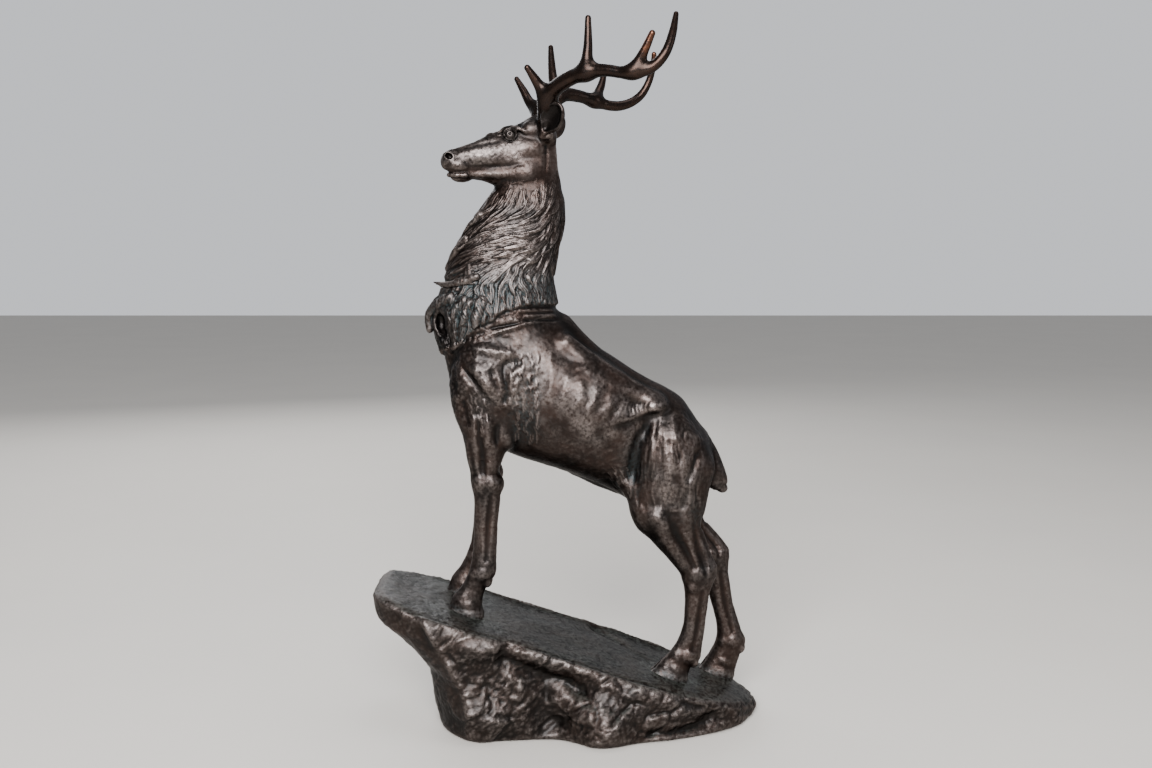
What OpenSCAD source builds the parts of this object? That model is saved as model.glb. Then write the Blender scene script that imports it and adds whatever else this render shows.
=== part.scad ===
// Bronze statuette of a red deer stag on a rock, cast in sections.
//
// Millimetres, +Z up.  The origin is the middle of the flat face that the base rests on.
// The stag faces -X, its left side is towards -Y and its middle plane is Y = 0.
// The hollow castings meet at flat seams.  Each seam is a sleeve in a socket with a cross pin,
// and each hoof is held on the rock by a stud, a washer and a nut.

/* [Castings] */
// Thickness of the hollow bronze castings
wall = 5; // [4:0.5:6]
// Radial play between a sleeve and its socket
sleeve_play = 0.1; // [0.05:0.05:0.3]
// Radius of the cross pins in the leg and neck seams
pin_r = 2; // [1.5:0.25:2.5]
// Radius of the small cross pins in the antlers, ears and tail
small_pin_r = 1; // [0.8:0.1:1.2]

/* [Stag] */
// Half width of the barrel at the ribs
barrel_half_w = 48; // [44:1:52]
// Half width of the head at the jaw
head_half_w = 19; // [17:0.5:21]
// Radius of an antler just above its burr
antler_r = 8; // [6:0.5:9]
// Turn of the head towards the stag's left
head_turn = 10; // [0:1:12]
// Distance of each leg from the middle plane
leg_y = 28; // [26:1:30]

/* [Rock] */
// Height of the rock's top over the origin
top_h = 82; // [80:0.5:84]
// Slope of the rock's top, down towards +X
top_slope = 18; // [16:0.5:19]
// How far the front rim of the rock lies under its top
rim_drop = 6; // [3:1:9]

/* [Underside] */
// Thickness of the felt
felt_t = 2.5; // [1.5:0.5:3]
// Thickness of the closing board
board_t = 6; // [4:1:7]
// Radius of the studs that hold the hooves
stud_r = 2.5; // [2:0.25:3]

/* [Hidden] */
$fn = 48;
SIDES = ["left", "right"];
FEET = ["left_fore", "right_fore", "left_hind", "right_hind"];

bronze = [0.20, 0.14, 0.11];
rock_bronze = [0.22, 0.19, 0.16];
bare_bronze = [0.72, 0.50, 0.25];
steel = [0.72, 0.73, 0.75];
board_wood = [0.45, 0.32, 0.20];
felt_green = [0.10, 0.22, 0.14];

ring_sides = 24;      // sides of a body section
antler_sides = 10;    // sides of an antler section
rim_lift = 0.5;       // the felt stands this much proud of the bronze rim
fit_play = 0.05;      // radial play round a stud, a pin or a screw
neck_sleeve_r = 26;
head_sleeve_r = 12;
hind_sleeve_r = 9;
fore_sleeve_r = 7;
tail_sleeve_r = 3.5;
sleeve_h = 16;        // how far a sleeve stands out of its casting
pedicle_r = 7.5;
tenon_r = 4;
tenon_h = 12;
ear_stem_r = 2.5;
boss_r = 10;          // bosses under the roof of the rock
boss_h = 6;
washer_r = 7;
washer_t = 1.5;
nut_r = 5.5;
nut_h = 4;
screw_r = 2;
screw_head_r = 4;
screw_head_h = 2.5;
board_margin = 12;    // from the rock's outline to the board's
board_reach = 158;    // the board stops here, where the hollow gets low

// ---- Sections -----------------------------------------------------------------------------
// A section is a flat ellipse across the stag: [x, z] of one end of its axis, [x, z] of the
// other end, its half width across Y and the Y of its centre.

function top_z(x) = top_h - x * tan(top_slope);
function on_top(front_x, back_x, half_w, y) =
    [front_x, top_z(front_x), back_x, top_z(back_x), half_w, y];

neck_seam = [-122, 376, -8, 412, 39, 0];
head_seam = [-70, 534, -6, 546, 19, 0];

// Barrel: withers to rump, upper end first.
barrel = [
    [-8, 412, -122, 376, 39, 0],
    [2, 402, -115, 345, 42, 0],
    [10, 391, -108, 312, 46, 0],
    [22, 381, -80, 285, 46, 0],
    [35, 372, -54, 270, 47, 0],
    [60, 356, -5, 254, barrel_half_w, 0],
    [83, 344, 25, 243, 48, 0],
    [100, 337, 52, 230, 46, 0],
    [118, 325, 74, 216, 44, 0],
    [134, 303, 98, 206, 40, 0],
    [142, 293, 122, 216, 32, 0],
    [146, 284, 142, 240, 18, 0]
];

// Neck with its mane: front edge first, head to shoulder.
neck_rings = [
    head_seam,
    [-80, 516, -3, 532, 21, 0],
    [-93, 499, 0, 518, 24, 0],
    [-107, 477, -2, 495, 28, 0],
    [-117, 453, -8, 468, 33, 0],
    [-127, 428, -12, 442, 37, 0],
    [-139, 402, -10, 424, 40, 0],
    neck_seam
];

// Head: upper edge first, nose to poll.
head_rings = [
    [-119, 566, -117, 553, 5, 0],
    [-113, 570, -110, 545, 9.5, 0],
    [-104, 573, -98, 543, 10.5, 0],
    [-88, 579, -82, 541, 11, 0],
    [-69, 588, -64, 532, 14, 0],
    [-52, 594, -50, 526, 18, 0],
    [-36, 601, -35, 528, head_half_w, 0],
    [-22, 606, -21, 531, 18, 0],
    [-14, 597, -9, 536, 13, 0]
];

head_pivot = [-36, 0, 0];

tail_root_z = [282, 266];
function rump_x(z) = 142 + (z - 240) * (146 - 142) / (284 - 240);
tail_rings = [
    [rump_x(tail_root_z[0]), tail_root_z[0], rump_x(tail_root_z[1]), tail_root_z[1], 8, 0],
    [153, 276, 148, 262, 8.5, 0],
    [159, 262, 150, 253, 8, 0],
    [163, 247, 153, 242, 6.5, 0],
    [164, 236, 158, 233, 3.5, 0]
];

// Legs, front edge first, from inside the barrel to the sole.
fore_seam = 3;        // which section of a foreleg is its seam
hind_seam = 4;
left_fore_rings = [
    [-112, 345, -52, 330, 20, 20],
    [-110, 315, -50, 300, 22, 22],
    [-100, 290, -56, 282, 16, 26],
    [-97, 272, -62, 266, 12.5, leg_y],
    [-94, 258, -66, 256, 11.5, leg_y],
    [-93, 245, -61, 243, 12, leg_y],
    [-90, 228, -64, 227, 10, leg_y],
    [-90, 205, -67, 205, 8.5, leg_y],
    [-91, 180, -68, 176, 8.5, leg_y],
    [-95, 158, -68, 154, 10, leg_y],
    [-103, 141, -79, 138, 9, leg_y],
    [-112, 130, -82, 123, 10.5, leg_y],
    on_top(-118, -81, 11, leg_y)
];
right_fore_rings = [
    [-112, 345, -52, 330, 20, 20],
    [-110, 315, -50, 300, 22, 22],
    [-100, 290, -56, 282, 16, 26],
    [-97, 272, -64, 266, 12.5, leg_y],
    [-96, 258, -67, 256, 11.5, leg_y],
    [-97, 245, -66, 243, 12, leg_y],
    [-95, 228, -70, 227, 10, leg_y],
    [-95, 205, -73, 205, 8.5, leg_y],
    [-97, 182, -74, 178, 8.5, leg_y],
    [-102, 162, -76, 158, 10, leg_y],
    [-110, 146, -86, 143, 9, leg_y],
    [-119, 134, -90, 128, 10.5, leg_y],
    on_top(-125, -89, 11, leg_y)
];
left_hind_rings = [
    [80, 300, 138, 286, 18, 17],
    [68, 264, 149, 262, 26, 21],
    [63, 236, 144, 238, 25, 23],
    [68, 212, 139, 216, 20, 26],
    [84, 189, 135, 200, 15, leg_y],
    [106, 164, 144, 172, 12, leg_y],
    [116, 150, 151, 155, 11, leg_y],
    [120, 130, 143, 128, 9, leg_y],
    [120, 105, 139, 100, 7.5, leg_y],
    [114, 86, 137, 77, 7.5, leg_y],
    [106, 73, 136, 66, 9, leg_y],
    [97, 64, 127, 57, 9, leg_y],
    on_top(85, 122, 10.5, leg_y)
];
right_hind_rings = [
    [80, 300, 138, 286, 18, 17],
    [68, 264, 149, 262, 26, 21],
    [66, 236, 146, 238, 25, 23],
    [74, 212, 143, 214, 20, 26],
    [92, 190, 146, 192, 15, leg_y],
    [125, 168, 163, 172, 12, leg_y],
    [136, 153, 171, 159, 11, leg_y],
    [146, 131, 171, 134, 9, leg_y],
    [153, 108, 174, 108, 7.5, leg_y],
    [159, 86, 182, 83, 7.5, leg_y],
    [159, 67, 190, 65, 9, leg_y],
    [152, 51, 184, 49, 9, leg_y],
    on_top(140, 177, 10.5, leg_y)
];

// Antlers: [x, distance from the middle plane, z, radius] along each centre line.
burr_tilt = 27;       // outward lean of the antler's foot
left_burr = [-18, 15, 598];
right_burr = [-26, 18, 599];
left_beam = [
    [-18, 16, 600, antler_r],
    [-17, 23, 612, antler_r],
    [-11, 33, 623, 7.5],
    [0, 44, 630, 7.5],
    [13, 53, 635, 7],
    [26, 61, 637, 7],
    [40, 69, 636, 6],
    [54, 75, 633, 5.5],
    [69, 80, 633, 5.5],
    [82, 83, 638, 5],
    [92, 84, 650, 4.5],
    [98, 80, 667, 3.5],
    [102, 74, 686, 2]
];
left_tines = [
    [[-16, 25, 614, 5.5], [-25, 32, 630, 4.5], [-36, 38, 646, 2.5]],
    [[22, 59, 636, 6], [22, 61, 656, 4], [22, 62, 685, 2.5]],
    [[64, 78, 632, 5], [72, 84, 648, 4], [80, 90, 668, 2.5]]
];
right_beam = [
    [-26, 19, 600, antler_r],
    [-24, 26, 612, antler_r],
    [-14, 36, 625, 7.5],
    [0, 48, 632, 7],
    [14, 59, 632, 6.5],
    [28, 68, 629, 6],
    [40, 75, 626, 5.5],
    [54, 80, 625, 5.5],
    [68, 85, 629, 5],
    [80, 88, 638, 4.5],
    [88, 88, 652, 4],
    [92, 84, 668, 3],
    [93, 80, 680, 2]
];
right_tines = [
    [[-25, 25, 611, 5.5], [-35, 31, 621, 4.5], [-42, 35, 634, 3.5], [-50, 38, 647, 2.5]],
    [[-9, 40, 629, 5.5], [-13, 52, 652, 4], [-15, 60, 682, 2.5]],
    [[30, 69, 629, 5], [37, 80, 645, 4], [41, 88, 663, 2.5]]
];

// Ears
ear_root = [-13, 21, 583];
ear_lean = 45;        // from upright
ear_swing = 52;       // outward from straight back
ear_roll = 52;        // turns the cup to the side
ear_l = 34;
ear_half_w = 12;

// Rock: [x, y, drop] of the rim, the drop as a share of rim_drop, and [x, y] of the ground
// line below each point of it.
rock_rim = [
    [-190, -20, 1], [-180, -60, 1], [-140, -78, 1], [-80, -80, 1],
    [-20, -76, 1], [40, -78, 1], [100, -76, 1], [150, -62, 1],
    [184, -30, 1], [192, 6, 1], [168, 42, 1], [100, 50, -0.7],
    [30, 52, -0.7], [-50, 52, -0.7], [-120, 50, -0.5], [-178, 30, 0]
];
rock_ground = [
    [-128, -18], [-120, -50], [-92, -82], [-54, -80],
    [-6, -78], [34, -98], [74, -86], [130, -70],
    [176, -42], [198, 8], [180, 56], [110, 80],
    [30, 84], [-50, 82], [-110, 64], [-126, 24]
];
brow_share = 0.2;     // the brow lies this far from the rim's outline towards the ground's
brow_height = 0.8;    // and at this share of the rim's height
waist_share = 0.85;
waist_height = 0.45;
top_share = 0.92;     // the flat top is this much of the rim's outline
board_holes = [[-85, -45], [-75, 40], [70, -50], [120, 35]];

// ---- Functions -----------------------------------------------------------------------------

function spline(a, b, c, d, t) =
    0.5 * (2 * b + (c - a) * t + (2 * a - 5 * b + 4 * c - d) * t * t
           + (3 * b - a - 3 * c + d) * t * t * t);

// Rows in a smooth run through the given ones, each step cut in `steps`.
function smooth(rows, steps) =
    let (last = len(rows) - 1)
    concat(
        [for (i = [0:last - 1], k = [0:steps - 1])
            spline(rows[max(i - 1, 0)], rows[i], rows[i + 1], rows[min(i + 2, last)], k / steps)],
        [rows[last]]
    );

// The same round a closed outline.
function smooth_loop(rows, steps) =
    let (n = len(rows))
    [for (i = [0:n - 1], k = [0:steps - 1])
        spline(rows[(i + n - 1) % n], rows[i], rows[(i + 1) % n], rows[(i + 2) % n], k / steps)];

function part_of(rows, first, last) = [for (i = [first:last]) rows[i]];

// A section moved in from its edge all round.
function inset(row, by) =
    let (
        axis = [row[0] - row[2], row[1] - row[3]],
        shift = axis * (by / norm(axis))
    )
    [row[0] - shift[0], row[1] - shift[1], row[2] + shift[0], row[3] + shift[1],
     row[4] - by, row[5]];

// Points round a section; side is -1 for the left and 1 for the right.
function ring(row, side) =
    [for (i = [0:ring_sides - 1])
        let (a = i * 360 / ring_sides, c = cos(a) / 2)
        [row[0] * (0.5 + c) + row[2] * (0.5 - c),
         side * row[5] + row[4] * sin(a),
         row[1] * (0.5 + c) + row[3] * (0.5 - c)]];

function unit(v) = v / norm(v);
function xyz(row) = [row[0], row[1], row[2]];
function middle(points) = [for (i = [0:len(points) - 1]) 1] * points / len(points);

function tangents(path) =
    let (last = len(path) - 1)
    [for (i = [0:last]) unit(xyz(path[min(i + 1, last)]) - xyz(path[max(i - 1, 0)]))];

// Carries one crosswise vector along a path without twisting it.
function carried(dirs, i, v) =
    i >= len(dirs) ? [] : let (u = unit(v - (v * dirs[i]) * dirs[i])) concat([u], carried(dirs, i + 1, u));

function tube_rings(path) =
    let (dirs = tangents(path), cross_dirs = carried(dirs, 0, [1, 0, 0]))
    [for (i = [0:len(path) - 1])
        let (u = cross_dirs[i], w = cross(dirs[i], u))
        [for (k = [0:antler_sides - 1])
            let (a = k * 360 / antler_sides)
            xyz(path[i]) + path[i][3] * (cos(a) * u + sin(a) * w)]];

function mirrored(path, side) = [for (p = path) [p[0], side * p[1], p[2], p[3]]];

// ---- Building blocks -------------------------------------------------------------------------

// Closed skin over a run of rings that have the same number of points.
module skin(rings) {
    n = len(rings[0]);
    m = len(rings);
    ends = [middle(rings[0]), middle(rings[m - 1])];
    points = concat([for (r = rings, p = r) p], ends);
    along = middle(rings[1]) - ends[0];
    outward = cross(rings[0][0] - ends[0], rings[0][1] - ends[0]) * along > 0;
    walls = [for (r = [0:m - 2], i = [0:n - 1], half = [0, 1])
        let (a = r * n + i, b = r * n + (i + 1) % n)
        half == 0 ? [a, a + n, b] : [b, a + n, b + n]];
    caps = [for (i = [0:n - 1], end = [0, 1])
        let (j = (i + 1) % n, base = (m - 1) * n)
        end == 0 ? [i, j, n * m] : [base + j, base + i, n * m + 1]];
    faces = concat(walls, caps);
    polyhedron(points, outward ? faces : [for (f = faces) [f[2], f[1], f[0]]]);
}

module loft(rows, steps = 2, side = 1) {
    skin([for (row = smooth(rows, steps)) ring(row, side)]);
}

module tube(path, steps = 2) {
    skin(tube_rings(smooth(path, steps)));
}

// Places children on a seam, with +Z across it and +X towards the section's second end.
module at_seam(row, side = 1) {
    translate([(row[0] + row[2]) / 2, side * row[5], (row[1] + row[3]) / 2])
        rotate([0, -atan2(row[3] - row[1], row[2] - row[0]), 0])
            children();
}

// Places children on the rock's top, with +Z along its normal.
module at_foot(rows, side) {
    sole = rows[len(rows) - 1];
    translate([(sole[0] + sole[2]) / 2, side * sole[5], (sole[1] + sole[3]) / 2])
        rotate([0, top_slope, 0])
            children();
}

module at_burr(burr, side) {
    translate([burr[0], side * burr[1], burr[2]])
        rotate([-side * burr_tilt, 0, 0])
            children();
}

module at_ear(side) {
    translate([ear_root[0], side * ear_root[1], ear_root[2]])
        rotate([0, 0, side * ear_swing])
            rotate([0, ear_lean, 0])
                rotate([0, 0, side * ear_roll])
                    children();
}

module rod(r, low, high) {
    translate([0, 0, low])
        cylinder(r = r, h = high - low);
}

// Rod across the stag, centred on the local origin.
module cross_rod(r, length) {
    rotate([90, 0, 0])
        cylinder(r = r, h = length, center = true);
}

function leg_rings(foot) =
    foot == "left_fore" ? left_fore_rings :
    foot == "right_fore" ? right_fore_rings :
    foot == "left_hind" ? left_hind_rings : right_hind_rings;
function leg_side(foot) = (foot == "left_fore" || foot == "left_hind") ? -1 : 1;
function is_fore(foot) = foot == "left_fore" || foot == "right_fore";
function leg_seam(foot) = is_fore(foot) ? fore_seam : hind_seam;
function leg_sleeve_r(foot) = is_fore(foot) ? fore_sleeve_r : hind_sleeve_r;

module at_leg_seam(foot) {
    at_seam(leg_rings(foot)[leg_seam(foot)], leg_side(foot))
        children();
}

// ---- Pins, as bodies and as the holes for them --------------------------------------------------

leg_pin_z = 8;
leg_pin_l = 22;
neck_pin_z = -7;
neck_pin_y = 29;
neck_pin_l = 14;
head_pin_z = 8;
head_pin_l = 27;
antler_pin_z = -6;
antler_pin_l = 13;
tail_pin_z = 5;
tail_pin_l = 16;

module leg_pin_rod(foot, play) {
    at_leg_seam(foot)
        translate([0, 0, leg_pin_z])
            cross_rod(pin_r + play, leg_pin_l + 2 * play);
}

module neck_pin_rod(side, play) {
    at_seam(neck_seam)
        translate([0, side * neck_pin_y, neck_pin_z])
            cross_rod(pin_r + play, neck_pin_l + 2 * play);
}

module head_pin_rod(play) {
    at_seam(head_seam)
        translate([0, 0, head_pin_z])
            cross_rod(pin_r + play, head_pin_l + 2 * play);
}

module antler_pin_rod(burr, side, play) {
    at_burr(burr, side)
        translate([0, 0, antler_pin_z])
            rotate([0, 90, 0])
                cylinder(r = small_pin_r + play, h = antler_pin_l + 2 * play, center = true);
}

// Places children on the flat of the rump, with +Z into the stag.
module at_tail() {
    z = (tail_root_z[0] + tail_root_z[1]) / 2;
    translate([rump_x(z), 0, z])
        rotate([0, -90 + atan((146 - 142) / (284 - 240)), 0])
            children();
}

module tail_pin_rod(play) {
    at_tail()
        translate([0, 0, tail_pin_z])
            cross_rod(small_pin_r + play, tail_pin_l + 2 * play);
}

// ---- Underside -----------------------------------------------------------------------------

module board_outline() {
    intersection() {
        offset(delta = -board_margin)
            polygon(smooth_loop(rock_ground, 2));
        translate([-200, -100])
            square([200 + board_reach, 200]);
    }
}

module base_felt() {
    color(felt_green)
        linear_extrude(felt_t)
            board_outline();
}

module base_board() {
    color(board_wood)
        difference() {
            translate([0, 0, felt_t])
                linear_extrude(board_t)
                    board_outline();
            for (p = board_holes)
                translate([p[0], p[1], 0]) {
                    rod(screw_r + 2 * fit_play, 0, felt_t + board_t + 1);
                    rod(screw_head_r + 2 * fit_play, 0, felt_t + screw_head_h);
                }
        }
}

module board_screw(i) {
    color(steel)
        translate([board_holes[i][0], board_holes[i][1], 0]) {
            rod(screw_r, felt_t, felt_t + board_t + 14);
            rod(screw_head_r, felt_t, felt_t + screw_head_h);
        }
}

// ---- Rock --------------------------------------------------------------------------------

// The outline `plan` moved in by `by`, towards the rock's long middle line.
function drawn_in(plan, by) =
    [for (p = plan)
        let (q = [p[0], p[1]], move = unit([0.7 * p[0], 0] - q) * by)
        q + move];

function ground_ring(by) = [for (p = drawn_in(rock_ground, by)) [p[0], p[1], rim_lift - by]];
function rim_ring(by) =
    let (plan = drawn_in(rock_rim, by))
    [for (i = [0:len(plan) - 1])
        [plan[i][0], plan[i][1], top_z(plan[i][0]) - rim_drop * rock_rim[i][2] - by]];
function side_ring(share, height, by) =
    let (rim = rim_ring(by), ground = drawn_in(rock_ground, by))
    [for (i = [0:len(rim) - 1])
        [rim[i][0] * (1 - share) + ground[i][0] * share,
         rim[i][1] * (1 - share) + ground[i][1] * share,
         rim[i][2] * height]];
function top_ring(by) =
    [for (p = drawn_in(rock_rim, by))
        [p[0] * top_share, p[1] * top_share, top_z(p[0] * top_share) - by]];

module rock_skin(by) {
    rings = [
        ground_ring(by),
        side_ring(waist_share, waist_height, by),
        side_ring(brow_share, brow_height, by),
        rim_ring(by),
        top_ring(by)
    ];
    skin([for (r = rings) smooth_loop(r, 2)]);
}

module rock_base() {
    color(rock_bronze)
        difference() {
            union() {
                difference() {
                    rock_skin(0);
                    rock_skin(wall);
                }
                for (foot = FEET)
                    at_foot(leg_rings(foot), leg_side(foot))
                        rod(boss_r, -wall - boss_h, -wall / 2);
                for (p = board_holes)
                    translate([p[0], p[1], 0])
                        rod(screw_r * 3, felt_t + board_t, top_z(p[0]) - wall / 2);
            }
            for (foot = FEET)
                at_foot(leg_rings(foot), leg_side(foot))
                    rod(stud_r + 2 * fit_play, -wall - boss_h - 1, 1);
            for (p = board_holes)
                translate([p[0], p[1], 0])
                    rod(screw_r + fit_play, 0, felt_t + board_t + 15);
        }
}

// ---- Stag -------------------------------------------------------------------------------

module torso() {
    color(bronze)
        difference() {
            union() {
                loft(barrel);
                for (foot = FEET)
                    loft(part_of(leg_rings(foot), 0, leg_seam(foot)), 2, leg_side(foot));
            }
            loft([for (row = part_of(barrel, 1, len(barrel) - 3)) inset(row, wall)], 1);
            at_seam(neck_seam)
                rod(neck_sleeve_r, -34, 1);
            for (foot = FEET)
                at_leg_seam(foot)
                    rod(leg_sleeve_r(foot), -1, sleeve_h + 1);
            for (foot = FEET)
                leg_pin_rod(foot, fit_play);
            for (side = [-1, 1])
                neck_pin_rod(side, fit_play);
            at_tail()
                rod(tail_sleeve_r, -1, 11);
            tail_pin_rod(fit_play);
        }
}

module neck() {
    color(bronze)
        difference() {
            union() {
                loft(neck_rings);
                at_seam(neck_seam)
                    rod(neck_sleeve_r - sleeve_play, -sleeve_h, 2);
                at_seam(head_seam)
                    rod(head_sleeve_r - sleeve_play, -2, sleeve_h);
            }
            loft([for (row = part_of(neck_rings, 1, len(neck_rings) - 2)) inset(row, 1.2 * wall)], 1);
            at_seam(neck_seam)
                rod(neck_sleeve_r - wall, -sleeve_h - 1, 20);
            head_pin_rod(fit_play);
            for (side = [-1, 1])
                neck_pin_rod(side, fit_play);
        }
}

module head() {
    color(bronze)
        difference() {
            union() {
                translate(head_pivot)
                    rotate([0, 0, head_turn])
                        translate(-head_pivot)
                            loft(head_rings);
                at_burr(left_burr, -1)
                    rod(pedicle_r, -18, 0);
                at_burr(right_burr, 1)
                    rod(pedicle_r, -18, 0);
                for (side = [-1, 1])
                    at_ear(side)
                        rod(2 * ear_stem_r, -12, 0);
            }
            at_seam(head_seam)
                translate([-60, -50, -60])
                    cube([120, 100, 60]);
            at_seam(head_seam)
                rod(head_sleeve_r, -1, sleeve_h + 1);
            head_pin_rod(fit_play);
            at_burr(left_burr, -1)
                rod(tenon_r + sleeve_play, -tenon_h - 0.5, 1);
            at_burr(right_burr, 1)
                rod(tenon_r + sleeve_play, -tenon_h - 0.5, 1);
            antler_pin_rod(left_burr, -1, fit_play);
            antler_pin_rod(right_burr, 1, fit_play);
            for (side = [-1, 1])
                at_ear(side)
                    rod(ear_stem_r + sleeve_play, -6.5, 1);
        }
}

module antler(burr, side, beam, tines) {
    color(bronze)
        difference() {
            union() {
                tube(mirrored(beam, side));
                for (tine = tines)
                    tube(mirrored(tine, side), 3);
                at_burr(burr, side)
                    rod(1.15 * antler_r, 0, 4);
                at_burr(burr, side)
                    rod(tenon_r, -tenon_h, 1);
            }
            antler_pin_rod(burr, side, fit_play);
        }
}

module ear(side) {
    color(bronze)
        at_ear(side) {
            difference() {
                hull($fn = 24) {
                    rod(2 * ear_stem_r, 0, 1);
                    translate([0, 0, ear_l * 0.5])
                        scale([0.3, 1, 1])
                            sphere(r = ear_half_w);
                    translate([0, 0, ear_l - 2])
                        sphere(r = 2);
                }
                hull() {
                    translate([ear_half_w * 0.45, 0, ear_l * 0.5])
                        scale([0.45, 0.7, 1])
                            sphere(r = ear_half_w, $fn = 24);
                    translate([ear_half_w * 0.35, 0, ear_l - 6])
                        sphere(r = 3, $fn = 24);
                }
            }
            rod(ear_stem_r, -6, 2);
        }
}

module tail() {
    color(bronze)
        difference() {
            union() {
                loft(tail_rings);
                at_tail()
                    rod(tail_sleeve_r - sleeve_play, -2, 10);
            }
            tail_pin_rod(fit_play);
        }
}

module leg(foot) {
    rows = leg_rings(foot);
    color(bronze)
        difference() {
            union() {
                loft(part_of(rows, leg_seam(foot), len(rows) - 1), 2, leg_side(foot));
                at_leg_seam(foot)
                    rod(leg_sleeve_r(foot) - sleeve_play, -2, sleeve_h);
            }
            leg_pin_rod(foot, fit_play);
            at_foot(rows, leg_side(foot))
                rod(stud_r + fit_play, -1, 20);
        }
}

// ---- Fastenings -----------------------------------------------------------------------------

module stud(foot) {
    color(steel)
        at_foot(leg_rings(foot), leg_side(foot))
            rod(stud_r, -wall - boss_h - washer_t - nut_h - 1, 19);
}

module washer(foot) {
    color(steel)
        at_foot(leg_rings(foot), leg_side(foot))
            difference() {
                rod(washer_r, -wall - boss_h - washer_t, -wall - boss_h);
                rod(stud_r + 2 * fit_play, -wall - boss_h - washer_t - 1, -wall - boss_h + 1);
            }
}

module nut(foot) {
    low = -wall - boss_h - washer_t - nut_h;
    color(steel)
        at_foot(leg_rings(foot), leg_side(foot))
            difference() {
                translate([0, 0, low])
                    cylinder(r = nut_r, h = nut_h, $fn = 6);
                rod(stud_r + fit_play, low - 1, low + nut_h + 1);
            }
}

module pin_colour() {
    color(bare_bronze)
        children();
}

base_felt();
base_board();
rock_base();
torso();
neck();
head();
tail();
for (i = [1:4])
    board_screw(i - 1);
antler(left_burr, -1, left_beam, left_tines);  // left_antler
antler(right_burr, 1, right_beam, right_tines);  // right_antler
ear(-1);  // left_ear
ear(1);  // right_ear
for (foot = FEET) {
    leg(foot);
    pin_colour() leg_pin_rod(foot, 0);
    stud(foot);
    washer(foot);
    nut(foot);
}
pin_colour() neck_pin_rod(-1, 0);  // left_neck_pin
pin_colour() neck_pin_rod(1, 0);  // right_neck_pin
pin_colour() antler_pin_rod(left_burr, -1, 0);  // left_antler_pin
pin_colour() antler_pin_rod(right_burr, 1, 0);  // right_antler_pin
pin_colour() head_pin_rod(0);  // head_pin
pin_colour() tail_pin_rod(0);  // tail_pin
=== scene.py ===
import copy
import math
from concurrent.futures import ThreadPoolExecutor

import bmesh
import bpy
import numpy as np
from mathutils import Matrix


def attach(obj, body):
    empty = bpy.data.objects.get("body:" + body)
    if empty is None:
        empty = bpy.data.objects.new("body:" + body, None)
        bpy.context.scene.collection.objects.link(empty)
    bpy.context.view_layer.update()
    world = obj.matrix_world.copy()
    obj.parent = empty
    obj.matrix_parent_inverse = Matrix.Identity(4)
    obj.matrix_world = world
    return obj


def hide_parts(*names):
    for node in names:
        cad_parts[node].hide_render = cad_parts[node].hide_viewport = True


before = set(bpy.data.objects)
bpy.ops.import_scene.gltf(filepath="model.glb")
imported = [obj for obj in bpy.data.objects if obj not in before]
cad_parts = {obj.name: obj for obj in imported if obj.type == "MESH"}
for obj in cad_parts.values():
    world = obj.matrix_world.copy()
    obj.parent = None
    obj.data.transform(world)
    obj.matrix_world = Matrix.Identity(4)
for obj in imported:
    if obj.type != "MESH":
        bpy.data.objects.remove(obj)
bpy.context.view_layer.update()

# The castings are modelled as clay, a block of signed distances in mm, from lofts, ropes and balls.
# Each block's skin is then worked with relief and hair, cut at its seams and made a piece in metres.
# x runs from the stag's breast to its tail, y to its right and z up. The side view is x and z.
MM = 0.001
FAR = 40.0            # mm, the distance an empty block of clay holds
ROPE_MARGIN = 9.0     # mm round a rope in which its distance is worked out


# ---- Small mathematics ----

def unit(v):
    return v / np.maximum(np.linalg.norm(v, axis=-1, keepdims=True), 1e-9)


def ease(t):
    t = np.clip(t, 0.0, 1.0)
    return t * t * (3 - 2 * t)


def spline(rows, steps, closed=False):
    """A smooth run through the rows (Catmull-Rom), each step cut in `steps`."""
    rows = np.array(rows, float)
    n = len(rows)
    out = []
    for i in range(n if closed else n - 1):
        around = np.arange(i - 1, i + 3)
        a, b, c, d = rows[around % n if closed else np.clip(around, 0, n - 1)]
        for k in range(steps):
            t = k / steps
            out.append(0.5 * (2 * b + (c - a) * t + (2 * a - 5 * b + 4 * c - d) * t * t
                              + (3 * b - a - 3 * c + d) * t ** 3))
    return np.array(out if closed else out + [rows[-1]])


def smooth_min(a, b, k):
    h = np.maximum(k - np.abs(a - b), 0.0) / k
    return np.minimum(a, b) - h * h * (k / 4)


def smooth_max(a, b, k):
    return -smooth_min(-a, -b, k)


def lattice(ix, iy, iz, seed):
    h = (ix * 73856093) ^ (iy * 19349663) ^ (iz * 83492791) ^ (seed * 2654435761)
    h = (h ^ (h >> 13)) * 1274126177
    return ((h ^ (h >> 16)) & 0xFFFF) / 65535.0


def corners(share):
    """The eight corners of a cell, and the weight of each at the share of the way across it."""
    for corner in np.ndindex(2, 2, 2):
        x, y, z = (share[:, k] if corner[k] else 1 - share[:, k] for k in range(3))
        yield corner, x * y * z


def noise(points, size, seed=0):
    """Smooth value noise from -1 to 1, with features about `size` mm across."""
    q = points / size
    base = np.floor(q).astype(np.int64)
    total = 0.0
    for corner, weight in corners(ease(q - base)):
        total = total + weight * lattice(*(base + corner).T, seed)
    return total * 2 - 1


def layered(points, size, seed=0, octaves=4, gain=0.5):
    total, weight = 0.0, 1.0
    for k in range(octaves):
        total = total + weight * noise(points, size / 2 ** k, seed + 17 * k)
        weight *= gain
    return total


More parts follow.
